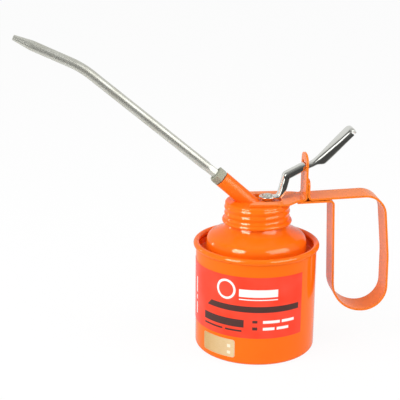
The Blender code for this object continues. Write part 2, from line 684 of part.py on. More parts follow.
def make_suction_side(brass, steel, mesh_metal):
    plug = BARREL_BORE - SEAT_GAP
    seat = FOOT_TOP - POCKET_DEPTH
    tube_hole = TUBE_RADIUS + SEAT_GAP
    foot = [
        (SEAT_BORE, seat), (POCKET_RADIUS, seat), (POCKET_RADIUS, FOOT_TOP), (plug, FOOT_TOP),
        (plug, BARREL_BOTTOM - SEAT_GAP), (BARREL_RADIUS, BARREL_BOTTOM - SEAT_GAP),
        (BARREL_RADIUS, FOOT_LOW),
        (tube_hole, FOOT_LOW), (tube_hole, FOOT_LOW + TUBE_SOCKET), (SEAT_BORE, FOOT_LOW + TUBE_SOCKET),
    ]
    placed("barrel_foot", turned(foot, SMALL_FACETS + 8, PUMP_X), brass)
    lift = math.sqrt(FOOT_BALL_RADIUS ** 2 - SEAT_BORE ** 2)
    placed("foot_ball", ball(FOOT_BALL_RADIUS, (PUMP_X, 0.0, seat + lift + SEAT_GAP)), steel)
    disc = [(0.0, CAGE_TOP), (plug, CAGE_TOP), (plug, CAGE_LOW), (0.0, CAGE_LOW)]
    cage = placed("ball_cage", turned(disc, SMALL_FACETS, PUMP_X, closed=False), steel)
    above, below = CAGE_TOP + CAGE_SHEET, CAGE_LOW - CAGE_SHEET
    drill = FLOW_HOLE_RADIUS
    for step in range(FLOW_HOLES):
        angle = 2 * math.pi * step / FLOW_HOLES
        hole = [(0.0, above), (drill, above), (drill, below), (0.0, below)]
        hole = turned(hole, FLOW_HOLE_FACETS, PUMP_X, closed=False)
        away = POCKET_RADIUS - drill
        place = (away * math.cos(angle), away * math.sin(angle), 0.0)
        bmesh.ops.translate(hole, verts=hole.verts, vec=place)
        cut(cage, placed("flow_cutter", hole, steel))
    bore = TUBE_RADIUS - TUBE_WALL
    tube_low = STRAINER_LOW + STRAINER_HEIGHT - TUBE_SOCKET
    tube = [(bore, TUBE_TOP), (TUBE_RADIUS, TUBE_TOP), (TUBE_RADIUS, tube_low), (bore, tube_low)]
    placed("suction_tube", turned(tube, SMALL_FACETS - 4, PUMP_X), steel)
    wall = TUBE_WALL
    collar_low = tube_low - SEAT_GAP
    top = STRAINER_LOW + STRAINER_HEIGHT
    bell = [
        (tube_hole, top), (tube_hole + wall, top), (tube_hole + wall, collar_low),
        (STRAINER_RADIUS, STRAINER_LOW + 2 * wall), (STRAINER_RADIUS, STRAINER_LOW),
        (STRAINER_RADIUS - wall, STRAINER_LOW), (STRAINER_RADIUS - wall, STRAINER_LOW + wall),
        (bore, collar_low - wall), (bore, collar_low), (tube_hole, collar_low),
    ]
    placed("strainer", turned(bell, SMALL_FACETS, PUMP_X), mesh_metal)


def make_spout_socket(paint):
    deep = -2.2 * SOCKET_RADIUS
    profile = [
        (PORT_RADIUS, deep), (PORT_RADIUS, SOCKET_SEAT), (SOCKET_BORE, SOCKET_SEAT),
        (SOCKET_BORE, SOCKET_LENGTH), (SOCKET_RADIUS, SOCKET_LENGTH), (SOCKET_RADIUS, deep),
    ]
    socket = placed("spout_socket", along_spout(turned(profile, SMALL_FACETS + 4), 0.0), paint)
    gap = BARREL_RADIUS + SEAT_GAP
    low, high = BARREL_BOTTOM, CAP_TOP + 3 * BARREL_RADIUS
    barrel = [(0.0, high), (gap, high), (gap, low), (0.0, low)]
    cut(socket, placed("barrel_cutter", turned(barrel, SMALL_FACETS + 8, PUMP_X, closed=False), paint))


def make_spout_fittings(nickel, brass, steel):
    face = SOCKET_LENGTH + SEAT_GAP
    head = placed("spout_nut", along_spout(hexagon(NUT_FLATS, 0.0, NUT_LENGTH), face), nickel)
    shank = [(0.0, 0.3 * NUT_LENGTH), (NUT_SHANK_RADIUS, 0.3 * NUT_LENGTH),
             (NUT_SHANK_RADIUS, -SEAT_GAP - NUT_SHANK), (0.0, -SEAT_GAP - NUT_SHANK)]
    join(head, placed("nut_shank", along_spout(turned(shank, SMALL_FACETS, closed=False), face), nickel))
    bore = PIPE_RADIUS + SEAT_GAP
    hole = [(0.0, 2 * NUT_LENGTH), (bore, 2 * NUT_LENGTH), (bore, -2 * NUT_SHANK), (0.0, -2 * NUT_SHANK)]
    cut(head, placed("nut_cutter", along_spout(turned(hole, SMALL_FACETS, closed=False), face), nickel))
    high = SOCKET_LENGTH - NUT_SHANK - SEAT_GAP
    low = high - FERRULE_LENGTH
    ring = [(bore, high), (NUT_SHANK_RADIUS, high), (NUT_SHANK_RADIUS, low), (bore, low)]
    placed("spout_ferrule", along_spout(turned(ring, SMALL_FACETS), 0.0), brass)
    lift = math.sqrt(DELIVERY_BALL_RADIUS ** 2 - PORT_RADIUS ** 2)
    centre = SOCKET_SEAT + lift + SEAT_GAP
    placed("delivery_ball", along_spout(ball(DELIVERY_BALL_RADIUS, (0, 0, 0)), centre), steel)
    spring_low = centre + DELIVERY_BALL_RADIUS + SEAT_GAP
    spring_high = low - SEAT_GAP
    wire = coil(PIPE_RADIUS - DELIVERY_WIRE, DELIVERY_WIRE, spring_low, spring_high, DELIVERY_TURNS)
    placed("delivery_spring", along_spout(wire, 0.0), steel)


def pipe_path():
    """The pipe's axis in the XZ plane, from inside the nut's shank to the tip."""
    start = SPOUT_FOOT + SPOUT_AXIS * (SOCKET_LENGTH - NUT_SHANK - FERRULE_LENGTH)
    knee = SPOUT_FOOT + SPOUT_AXIS * (SOCKET_LENGTH + SEAT_GAP + NUT_LENGTH + 0.5 * PIPE_RADIUS)
    rise, end = math.radians(PIPE_RISE_ANGLE), math.radians(PIPE_END_ANGLE)
    reach = PIPE_BEND_RADIUS * math.tan((rise - end) / 2)
    first = Vector((knee.x, knee.z))
    bend = first + Vector((-math.cos(rise), math.sin(rise))) * (PIPE_RISE_LENGTH + reach)
    tip = bend + Vector((-math.cos(end), math.sin(end))) * (reach + PIPE_END_LENGTH + PIPE_TIP_LENGTH)
    return rounded([
        (start.x, start.z, 0), (first.x, first.y, 2 * PIPE_RADIUS), (bend.x, bend.y, PIPE_BEND_RADIUS),
        (tip.x, tip.y, 0),
    ])


def make_spout_pipe(nickel):
    path = pipe_path()
    tip_start = path[-1] + (path[-2] - path[-1]).normalized() * PIPE_TIP_LENGTH
    path.insert(-1, tip_start)
    lengths = travelled(path)
    knee = lengths[2]
    flat_end = knee + PIPE_FLATS_LENGTH
    stations = sorted({*lengths, knee + 0.3 * PIPE_RADIUS, flat_end, flat_end + 0.5 * PIPE_RADIUS})
    shape = bmesh.new()
    outer, inner = [], []
    for along in stations:
        index = max(i for i, length in enumerate(lengths[:-1]) if length <= along)
        share = (along - lengths[index]) / (lengths[index + 1] - lengths[index])
        here = path[index].lerp(path[index + 1], share)
        side = normals(path)[index].lerp(normals(path)[index + 1], share).normalized()
        taper = max(along - (lengths[-1] - PIPE_TIP_LENGTH), 0.0) / PIPE_TIP_LENGTH
        radius = PIPE_RADIUS + (PIPE_TIP_RADIUS - PIPE_RADIUS) * taper
        bore = (PIPE_RADIUS - PIPE_WALL) * radius / PIPE_RADIUS
        pressed = knee < along < flat_end + MERGE
        outer.append(pipe_ring(shape, here, side, radius, PIPE_FLATS / 2 if pressed else radius))
        inner.append(pipe_ring(shape, here, side, bore, bore))
    for rings in (outer, inner):
        for first, second in zip(rings, rings[1:]):
            bridge(shape, first, second)
    bridge(shape, outer[0], inner[0])
    bridge(shape, outer[-1], inner[-1])
    placed("spout_pipe", shape, nickel)


def pipe_ring(shape, here, side, radius, flats):
    """A ring of vertices across the pipe, cut back to six flats where they are nearer than its radius."""
    ring = []
    for step in range(PIPE_FACETS):
        angle = 2 * math.pi * step / PIPE_FACETS
        from_flat = (angle + math.pi / 6) % (math.pi / 3) - math.pi / 6
        reach = min(radius, flats / math.cos(from_flat))
        flat_way = side * reach * math.cos(angle)
        ring.append(shape.verts.new((here.x + flat_way.x, reach * math.sin(angle), here.y + flat_way.y)))
    return ring


def bridge(shape, first, second):
    """Faces between two rings with as many vertices."""
    for index in range(len(first)):
        following = (index + 1) % len(first)
        shape.faces.new((first[index], first[following], second[following], second[index]))


def make_pump_bracket(paint):
    half = STRAP_SHEET / 2
    level = PLATE_LOW + half
    raised = level + STEP_RISE
    arch_low = PLATE_TOP + POST_HEIGHT - ARCH_RISE
    flat = rounded([
        (PLATE_LEFT_X, level, 0), (PLATE_TAPER_X, level, 0), (STEP_X, level, 0),
        (STEP_X + STEP_RUN, raised, 0), (POST_X, raised, POST_BEND), (POST_X, arch_low, 0),
    ])
    width_keys = [
        (PLATE_TAPER_X, PLATE_WIDTH), (POST_X - 2 * half, STRAP_WIDTH),
    ]
    widths = [between(point.x, width_keys) for point in flat]
    for step in range(1, ARCH_STEPS + 1):
        turn = math.pi / 2 * min(step / ARCH_STEPS, 0.97)
        flat.append(Vector((POST_X, arch_low + ARCH_RISE * math.sin(turn) ** (2 / ARCH_POWER))))
        widths.append(STRAP_WIDTH * math.cos(turn) ** (2 / ARCH_POWER))
    bracket = placed("pump_bracket", ribbon(flat, STRAP_SHEET, widths), paint)
    opening = FORK_OPENING / 2
    far = 2 * PLATE_LEFT_X
    wide = PLATE_WIDTH / 2 + half
    outline = rounded([
        (far, -wide, 0), (PLATE_LEFT_X, -wide, 0), (FORK_MOUTH_X, -opening, 0),
        (FORK_END_X, -opening, FORK_CORNER), (FORK_END_X, opening, FORK_CORNER),
        (FORK_MOUTH_X, opening, 0), (PLATE_LEFT_X, wide, 0), (far, wide, 0),
    ])
    fork = prism(outline, PLATE_LOW - STRAP_SHEET, PLATE_TOP + STRAP_SHEET, "Z")
    cut(bracket, placed("fork_cutter", fork, paint))
    side = WINDOW_WIDTH / 2
    low = PLATE_TOP + WINDOW_LOW
    high = low + WINDOW_HEIGHT
    window = rounded([
        (0.0, low, 0), (side, low, WINDOW_CORNER), (side, high, WINDOW_CORNER),
        (-side, high, WINDOW_CORNER), (-side, low, WINDOW_CORNER), (0.0, low, 0),
    ])[:-1]
    slot = prism(window, POST_X - STRAP_SHEET, POST_X + STRAP_SHEET, "X")
    cut(bracket, placed("window_cutter", slot, paint))


def make_handle_loop(paint):
    half = STRAP_SHEET / 2
    tab_x = POST_X + STRAP_SHEET + SEAT_GAP
    under_top = PLATE_LOW + STEP_RISE - SEAT_GAP
    strip = PLATE_LOW + STEP_RISE + SEAT_GAP + half
    top_rise = HANDLE_TOP_SLOPE * (HANDLE_TOP_CORNER_X - tab_x)
    under_rise = HANDLE_UNDER_SLOPE * (HANDLE_ARM_X - HANDLE_END_X)
    corners = [
        (tab_x, PLATE_TOP + TAB_HEIGHT, 0),
        (tab_x, strip, HANDLE_BEND),
        (HANDLE_TOP_CORNER_X, strip + top_rise, HANDLE_TOP_CORNER),
        (HANDLE_GRIP_X, PLATE_TOP - HANDLE_GRIP_DROP, HANDLE_GRIP_ROUND),
        (HANDLE_LOW_X, PLATE_TOP - HANDLE_LOW_DROP, HANDLE_LOW_CORNER),
        (HANDLE_HEEL_X, PLATE_TOP - HANDLE_LOW_DROP, HANDLE_HEEL_CORNER),
        (HANDLE_ARM_X, under_top - half + under_rise, HANDLE_ARM_BEND),
        (HANDLE_END_X, under_top - half, 0),
    ]
    path = rounded(corners)
    corner_end = path[0] + (path[1] - path[0]).normalized() * TAB_CORNER
    path.insert(1, corner_end)
    path.insert(1, path[0].lerp(corner_end, 0.3))
    lengths = travelled(path)
    widths = []
    for along in lengths:
        from_end = max(TAB_CORNER - along, 0.0)
        inset = TAB_CORNER - math.sqrt(TAB_CORNER ** 2 - from_end ** 2)
        widths.append(STRAP_WIDTH - 2 * inset)
    placed("handle_loop", ribbon(path, STRAP_SHEET, widths), paint)


def lever_path():
    """The outer line of the lever's web in the XZ plane, from the foot to the pad's rolled end."""
    ball_x, ball_z = BALL_CENTRE.x, BALL_CENTRE.z
    stem_z = ball_z - LEVER_SHEET / 2
    corners = [(ball_x + 0.6 * FOOT_RING_RADIUS, stem_z, 0), (ball_x + LEVER_STEM_X, stem_z, 0.0013)]
    for x, z, radius in (LEVER_ELBOW, LEVER_SADDLE, LEVER_NECK, LEVER_PAD_END):
        corners.append((ball_x + x, ball_z + z, radius))
    last_x, last_z, _ = corners[-1]
    corners.append((last_x + 0.0030, last_z - LEVER_PAD_DROP, 0))
    return spaced(rounded(corners), LEVER_STATIONS)


def lever_section(shape, here, side, width, depth):
    """A ring of vertices: an open channel, its web at the top and its two flanges below."""
    half = width / 2
    edge = min(LEVER_EDGE, depth * 0.6, half * 0.6)
    outer = [
        (-half, depth), (-half, edge), (-half + 0.3 * edge, 0.3 * edge), (-half + edge, 0.0),
        (half - edge, 0.0), (half - 0.3 * edge, 0.3 * edge), (half, edge), (half, depth),
    ]
    inner = [
        (half - LEVER_SHEET, depth), (half - LEVER_SHEET, LEVER_SHEET + 0.2 * edge),
        (half - LEVER_SHEET - 0.4 * edge, LEVER_SHEET),
    ]
    inner += [(-across, down) for across, down in reversed(inner)]
    ring = []
    for across, down in outer + inner:
        point = here - side * down
        ring.append(shape.verts.new((point.x, across, point.y)))
    return ring


def make_lever(chrome):
    path = lever_path()
    lengths = travelled(path)
    total = lengths[-1]
    places = []
    for x, z, _ in (LEVER_ELBOW, LEVER_SADDLE, LEVER_NECK):
        mark = Vector((BALL_CENTRE.x + x, BALL_CENTRE.z + z))
        places.append(min(zip(path, lengths), key=lambda pair: (pair[0] - mark).length)[1])
    elbow, saddle, neck = places
    width_keys = [
        (neck, STEM_WIDTH), (total - PAD_ROUNDING, PAD_WIDTH),
        (total - 0.45 * PAD_ROUNDING, 0.86 * PAD_WIDTH), (total, 0.52 * PAD_WIDTH),
    ]
    thin = 1.25 * LEVER_SHEET
    depth_keys = [
        (0.0, thin), (0.5 * elbow, STEM_DEPTH), (elbow, ELBOW_DEPTH), (saddle, ELBOW_DEPTH),
        (neck, NECK_DEPTH), (neck + 0.42 * PAD_WIDTH, PAD_ROOT_DEPTH),
        (total - PAD_WIDTH / 2, PAD_TIP_DEPTH), (total, thin),
    ]
    shape = bmesh.new()
    rings = []
    for here, side, along in zip(path, normals(path), lengths):
        width = between(along, width_keys)
        depth = between(along, depth_keys)
        rings.append(lever_section(shape, here, side.normalized(), width, depth))
    rings_closed(shape, rings)
    lever = placed("lever", shape, chrome, BALL_CENTRE)
    join(lever, placed("lever_foot", lever_foot(), chrome, BALL_CENTRE))
    triangles(lever)


def lever_foot():
    """The dished foot: a cup round the ball end with a wide raised rim."""
    cup = math.degrees(math.acos(FOOT_LIP_RADIUS / FOOT_CUP_RADIUS))
    bottom = FOOT_CUP_RADIUS + LEVER_SHEET
    inside = arc(0.0, BALL_CENTRE.z, FOOT_CUP_RADIUS, -cup, -20, 3)
    rim = [
        Vector((0.80 * FOOT_RING_RADIUS, BALL_CENTRE.z - 0.0001)),
        Vector((0.90 * FOOT_RING_RADIUS, BALL_CENTRE.z + 0.0003)),
        Vector((FOOT_RING_RADIUS, BALL_CENTRE.z + 0.0001)),
        Vector((FOOT_RING_RADIUS, BALL_CENTRE.z - 0.0005)),
        Vector((0.88 * FOOT_RING_RADIUS, BALL_CENTRE.z - 0.0009)),
    ]
    outside = arc(0.0, BALL_CENTRE.z, bottom, -32, -cup, 2)
    return turned(inside + rim + outside, SMALL_FACETS + 8, PUMP_X)


def build():
    clear_objects()
    orange = finish("orange_paint", (0.95, 0.19, 0.02), 0.25, 0.0)
    label_red = finish("label_red", (0.90, 0.09, 0.06), 0.35, 0.0)
    foil_gold = finish("foil_gold", (0.75, 0.58, 0.25), 0.35, 0.8)
    chrome = finish("chrome", (0.80, 0.80, 0.78), 0.12, 1.0)
    nickel = finish("dull_nickel", (0.58, 0.57, 0.52), 0.35, 1.0)
    steel = finish("plain_steel", (0.50, 0.50, 0.50), 0.40, 1.0)
    brass = finish("brass", (0.72, 0.53, 0.25), 0.35, 1.0)
    rubber = finish("black_rubber", (0.03, 0.03, 0.03), 0.70, 0.0)
    leather = finish("seal_leather", (0.30, 0.17, 0.09), 0.75, 0.0)
    make_can_body(orange)
    make_can_shoulder(orange)
    make_label("front_label", FRONT_LABEL_SPAN, FRONT_LABEL_LOW, FRONT_LABEL_HIGH, 0.0, label_red)
    make_label(
        "foil_label", FOIL_LABEL_SPAN, FOIL_LABEL_LOW, FOIL_LABEL_HIGH, FOIL_LABEL_CORNER, foil_gold,
    )
    make_screw_cap(orange)
    make_cap_gasket(rubber)
    make_pump_barrel(steel)
    make_gland(brass, rubber)
    make_pump_rod(steel)
    make_piston(brass, leather, steel)
    make_pump_spring(steel)
    make_suction_side(brass, steel, steel)
    make_spout_socket(orange)
    make_spout_fittings(nickel, brass, steel)
    make_spout_pipe(nickel)
    make_pump_bracket(orange)
    make_handle_loop(orange)
    make_lever(chrome)


build()
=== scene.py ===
"""Dresses the pump oil can: smooth sheet metal with rounded edges, enamel, plating and printed labels."""

import json
import math

import bmesh
import bpy
from bpy.props import FloatProperty, FloatVectorProperty, IntProperty, PointerProperty
from mathutils import Matrix, Vector

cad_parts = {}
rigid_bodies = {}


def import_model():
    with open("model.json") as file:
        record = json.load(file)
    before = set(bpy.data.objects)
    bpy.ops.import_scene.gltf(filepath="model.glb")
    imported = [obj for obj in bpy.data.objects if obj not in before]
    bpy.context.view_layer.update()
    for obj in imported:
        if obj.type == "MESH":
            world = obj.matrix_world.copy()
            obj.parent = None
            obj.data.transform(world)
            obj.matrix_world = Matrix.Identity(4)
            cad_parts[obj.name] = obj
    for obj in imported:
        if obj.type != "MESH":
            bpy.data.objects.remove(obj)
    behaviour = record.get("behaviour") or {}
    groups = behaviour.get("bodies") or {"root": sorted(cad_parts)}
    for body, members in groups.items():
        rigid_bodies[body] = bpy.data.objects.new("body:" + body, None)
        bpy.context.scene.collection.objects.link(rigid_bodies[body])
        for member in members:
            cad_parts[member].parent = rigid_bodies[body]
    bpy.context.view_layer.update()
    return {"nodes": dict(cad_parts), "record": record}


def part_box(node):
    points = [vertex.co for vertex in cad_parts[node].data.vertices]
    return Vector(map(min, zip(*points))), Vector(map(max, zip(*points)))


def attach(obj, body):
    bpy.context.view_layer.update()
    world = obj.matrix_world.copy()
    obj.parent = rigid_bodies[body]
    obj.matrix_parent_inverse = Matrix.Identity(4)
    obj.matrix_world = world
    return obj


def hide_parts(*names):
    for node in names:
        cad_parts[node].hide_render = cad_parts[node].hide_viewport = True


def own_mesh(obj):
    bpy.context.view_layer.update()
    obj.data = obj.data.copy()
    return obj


bl_info = {
    "name": "Pump oil can",
    "version": (1, 0, 0),
    "blender": (4, 5, 0),
    "location": "View3D > Sidebar > Oil Can",
    "description": "Smooth pieces, enamel, plating and printed labels for the packed oil can",
    "category": "Object",
}

for startup_item in list(bpy.data.objects):
    bpy.data.objects.remove(startup_item, do_unlink=True)
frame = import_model()

# Can, in metres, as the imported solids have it
CAN_RADIUS = 0.0400
CAN_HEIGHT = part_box("can_body")[1].z
CAN_WALL = 0.0006
CAN_CORNER = 0.0028
RIM_BEAD = 0.0020
RIM_CENTRE = Vector((0.03967, CAN_HEIGHT - RIM_BEAD))
CAN_BORE = CAN_RADIUS - CAN_WALL

# Shoulder
SHOULDER_WALL = 0.0008
MOAT_FLOOR = CAN_HEIGHT - 0.0088
MOAT_CORNER = 0.0014
SKIRT_RADIUS = 0.0332
CROWN_Z = CAN_HEIGHT + 0.00318
CROWN_ROUND = 0.0060
NECK_ROOT_Z = CROWN_Z + 0.0064
NECK_FILLET = 0.0085
NECK_RADIUS = 0.0194
NECK_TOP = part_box("can_shoulder")[1].z

# Labels: first and last angle in degrees from +X, lower and upper edge
FRONT_LABEL = (-190.0, -50.5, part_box("front_label")[0].z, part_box("front_label")[1].z)
FOIL_LABEL = (-153.5, -116.8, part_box("foil_label")[0].z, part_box("foil_label")[1].z)
FOIL_CORNER = 0.0016
LABEL_SHEET = 0.00015
LABEL_GAP = 0.00005

# Cap
CAP_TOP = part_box("screw_cap")[1].z
CAP_SHEET = 0.0008
CAP_RADIUS = 0.0211
CAP_BORE = CAP_RADIUS - CAP_SHEET
CAP_SHOULDER = 0.0014
CAP_SKIRT = 0.0142
CURL_RADIUS = 0.0013
CURL_REACH = 0.0019
CAP_STEP = 0.0003           # spacing of the rings on its wall
THREAD_CREST = 0.093946     # height of a crest on the +X side

# Pump
PUMP_X = 0.0067
GLAND_RADIUS = 0.0045
ROD_RADIUS = 0.0025
ROD_NECK_RADIUS = 0.0012
BALL_RADIUS = 0.0026
BALL_CENTRE = Vector((PUMP_X, 0.0, CAP_TOP + 0.0027))
HEAD_RADIUS = 0.0028
HEAD_RISE = 0.0020
HEAD_BRIM = 0.0004
ROD_THREAD_RADIUS = 0.0015
SEAL_SHEET = 0.0013

# Spout
SPOUT_TILT = math.radians(41.3)
SPOUT_FOOT = Vector((-0.00635, 0.0, CAP_TOP))
SPOUT_AXIS = Vector((-math.cos(SPOUT_TILT), 0.0, math.sin(SPOUT_TILT)))
SOCKET_RADIUS = 0.0054
SOCKET_BORE = 0.0043
SOCKET_LENGTH = 0.0228
NUT_LENGTH = 0.00525
SEAT_GAP = 0.0003
PIPE_RADIUS = 0.0032
PIPE_WALL = 0.0008
PIPE_FLATS = 0.0055
PIPE_FLATS_LENGTH = 0.0060
PIPE_RISE_ANGLE = math.radians(39.6)
PIPE_RISE_LENGTH = 0.1008
PIPE_BEND_RADIUS = 0.0550
PIPE_END_ANGLE = math.radians(24.5)
PIPE_END_LENGTH = 0.0262
PIPE_TIP_LENGTH = 0.0120
PIPE_TIP_RADIUS = 0.0017
PIPE_START = SOCKET_LENGTH - 0.0045 - 0.0013    # along the spout's axis, inside the nut's shank
SOCKET_ROOT = -0.012    # where the socket's tube starts, before it is cut off at the cap

# Bracket, of the same strap as the handle
STRAP_SHEET = 0.0013
STRAP_WIDTH = 0.0187
PLATE_LOW = CAP_TOP + SEAT_GAP
PLATE_TOP = PLATE_LOW + STRAP_SHEET
PLATE_WIDTH = 0.0316
PLATE_LEFT_X = -0.0075
PLATE_TAPER_X = 0.0150
STEP_X = 0.0195
STEP_RUN = 0.0055
STEP_RISE = 0.00095
STEP_ROUND = 0.006
FORK_OPENING = 0.0188
FORK_END_X = 0.0152
FORK_CORNER = 0.0040
FORK_MOUTH_X = -0.0040
POST_X = 0.03095
POST_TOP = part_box("pump_bracket")[1].z
POST_BEND = 0.0022
ARCH_RISE = 0.0078
ARCH_POWER = 2.5
WINDOW_WIDTH = 0.0120
WINDOW_LOW = PLATE_TOP + 0.0185
WINDOW_HEIGHT = 0.0062
WINDOW_CORNER = 0.0015

# Handle: bends are (x, height, radius)
TAB_TOP = PLATE_TOP + 0.0135
TAB_CORNER = 0.0040
HANDLE_FOLD = 0.0024
HANDLE_TOP_X = 0.08280
HANDLE_TOP_SLOPE = 0.043
HANDLE_TOP_RADIUS = 0.0138
HANDLE_RIGHT = (0.08715, PLATE_TOP - 0.0395, 0.0800)
HANDLE_LOW_RIGHT = (0.08775, PLATE_TOP - 0.07725, 0.0162)
HANDLE_LOW_LEFT = (0.05145, PLATE_TOP - 0.07725, 0.0202)
HANDLE_LAYER_X = (0.0252, 0.04895)    # ends of the lower layer
HANDLE_LAYER_SLOPE = 0.030

# Lever
LEVER_SHEET = 0.0011
FOOT_RING_RADIUS = 0.0056
FOOT_CUP_RADIUS = 0.0029
FOOT_LIP_RADIUS = 0.0023
FOOT_EDGE = 0.0007
FOOT_DISH = ((0.0034, 0.0013), (0.0041, 0.0009))      # upper face: radius, depth below the ball's centre
FOOT_UNDER = ((0.0045, 0.0017), (0.0038, 0.0021))     # lower face
STEM_WIDTH = 0.0072
PAD_WIDTH = 0.0134
PAD_ROUNDING = 0.0078
WIDE_CORNER = 0.0027
TIGHT_CORNER = 0.0018
STEM_DEPTH = 0.0047
FOOT_DEPTHS = ((0.0012, 0.0016), (0.0019, 0.0021), (0.0024, 0.0029), (0.0031, 0.0037), (0.0090, STEM_DEPTH))
LEVER_START = ((0.0040, 0.0005, 0), (0.0061, 0.0005, 0.0013))    # x and height from the ball, radius
LEVER_KNEES = (
    (0.0097, 0.0156, 0.0032), (0.0226, 0.0222, 0.0100), (0.0286, 0.0229, 0.0045), (0.0536, 0.0471, 0.0026),
)

# Print on the labels. On the front one each field has its first and last angle in degrees, its lower and
# upper height in millimetres, and the slant of its left end. On the foil one all is in millimetres.
DARK_FIELDS = (
    (-148.4, -55.0, 37.1, 41.2, 0.9), (-152.5, -108.6, 26.5, 31.8), (-152.0, -129.5, 23.4, 24.7),
    (-127.0, -110.5, 23.4, 24.7), (-100.8, -96.1, 29.9, 31.7), (-100.8, -96.1, 25.1, 27.2),
)
WHITE_FIELDS = (
    (-113.5, -77.5, 47.5, 52.6), (-113.5, -77.5, 45.4, 46.1), (-91.0, -75.0, 29.7, 31.6),
    (-73.0, -60.0, 29.7, 31.6), (-91.0, -80.0, 25.0, 26.9), (-78.0, -66.0, 25.0, 26.9),
    (-171.2, -169.2, 25.0, 33.0), (-171.2, -169.2, 35.0, 38.0), (-171.2, -169.2, 40.0, 50.6),
)
RING_ANGLE, RING_HEIGHT, RING_RADIUS, RING_LINE = -126.5, 51.3, 6.0, 1.5
FOIL_FIELDS = ((20.3, 22.6, 2.2, 4.2), (20.3, 22.6, 6.6, 8.8))
PRINT_EDGE = 0.06    # half the width of a field's soft edge, in millimetres

# Camera, fitted to the can's edges
CAMERA_PLACE = Vector((-0.101334, -0.650433, 0.296427))
CAMERA_RIGHT = Vector((0.99542673, -0.09527227, 0.00698754))
CAMERA_UP = Vector((0.02063387, 0.28585357, 0.95805114))
CAMERA_BACK = Vector((-0.09327312, -0.95352553, 0.28651212))
CAMERA_FOCUS = 1046.542    # focal length in pixels of the picture
PICTURE_WIDTH = 400.0
SENSOR_WIDTH = 36.0

# Stage
FLOOR_REACH = 3.0
FLOOR_GAP = 0.00005
WARM, NEUTRAL = (1.0, 0.90, 0.74), (1.0, 1.0, 1.0)
DARK_SCREEN = (-0.68, -0.05, 0.73)    # direction of a dark screen at the upper left

MERGE = 1e-7
SOCKET_KINDS = {"Place": "Vector", "Lines": "Vector", "Centre": "Vector", "Colour": "Color"}
PAINTED_COATS = {"oil_can_enamel", "strap_enamel", "socket_enamel", "front_label_print", "foil_label_print"}
BODIES = {
    node: body
    for body, members in frame["record"]["behaviour"]["bodies"].items()
    for node in members
}


def colour_choice(name, description, default):
    """A colour property."""
    return FloatVectorProperty(
        name=name, description=description, default=default, subtype="COLOR", size=3, min=0.0, max=1.0,
    )


def number_choice(name, description, default, low, high, **more):
    """A number property."""
    return FloatProperty(name=name, description=description, default=default, min=low, max=high, **more)


class OilCanShape(bpy.types.PropertyGroup):
    """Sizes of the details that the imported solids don't have"""

    round_steps: IntProperty(
        name="Steps round the can", description="Facets in a full turn of the can and cap",
        default=144, min=24, max=256,
    )
    strap_edge: number_choice(
        "Strap edge rounding", "Radius on the edges of the bracket and the handle",
        0.00035, 0.00005, 0.0006, unit="LENGTH",
    )
    small_edge: number_choice(
        "Small edge rounding", "Radius on the edges of the nut and other small pieces",
        0.0002, 0.00002, 0.0005, unit="LENGTH",
    )
    thread_pitch: number_choice(
        "Thread pitch", "Rise of the cap's rolled thread in one turn", 0.0039, 0.002, 0.006, unit="LENGTH",
    )
    thread_depth: number_choice(
        "Thread depth", "How far the rolled thread stands out of the cap's wall",
        0.0005, 0.0001, 0.0008, unit="LENGTH",
    )


class OilCanFinish(bpy.types.PropertyGroup):
    """Colours and finishes"""

    enamel: colour_choice("Enamel", "Colour of the can, cap and socket", (0.93, 0.158, 0.006))
    strap: colour_choice("Strap enamel", "Colour of the bracket and the handle", (0.87, 0.195, 0.012))
    label_red: colour_choice("Label red", "Ground colour of the front label", (0.93, 0.050, 0.019))
    print_dark: colour_choice("Dark print", "Dark fields on the front label", (0.075, 0.035, 0.03))
    print_white: colour_choice("White print", "White fields on the front label", (0.92, 0.88, 0.85))
    foil: colour_choice("Foil", "Colour of the small foil label", (0.52, 0.315, 0.095))
    chrome: colour_choice("Chrome", "Colour of the lever's plating", (0.90, 0.91, 0.85))
    nickel: colour_choice("Nickel", "Colour of the spout's plating", (0.73, 0.735, 0.665))
    nut: colour_choice("Nut", "Colour of the union nut's weathered plating", (0.43, 0.435, 0.345))
    peel: number_choice(
        "Orange peel", "Height of the enamel's slight waviness", 0.00002, 0.0, 0.0001,
        precision=6, unit="LENGTH",
    )


class OilCanStage(bpy.types.PropertyGroup):
    """Lamps, softboxes and sky"""

    key_power: number_choice(
        "Key lamp", "Power of the lamp that lights the left side", 7.0, 0.0, 100.0, unit="POWER",
    )
    fill_power: number_choice(
        "Fill lamp", "Power of the lamp that lights the right side", 4.3, 0.0, 100.0, unit="POWER",
    )
    left_gloss: number_choice(
        "Left softbox", "How bright the softbox on the left shows in painted pieces", 36.0, 0.0, 100.0,
    )
    right_gloss: number_choice(
        "Right softbox", "How bright the softbox on the right shows in painted pieces", 15.0, 0.0, 100.0,
    )
    strip_gloss: number_choice(
        "Strip light", "How bright the strip at the far left shows in painted pieces", 14.0, 0.0, 100.0,
    )
    plated_gloss: number_choice(
        "Lights in plating", "How bright each of the three shows in plated pieces", 1.45, 0.0, 20.0,
    )
    sky: number_choice("Sky", "Level of the even light from all round", 0.70, 0.0, 2.0)
    room: number_choice("Room", "How dark the room behind the camera looks in gloss", 0.10, 0.0, 1.0)


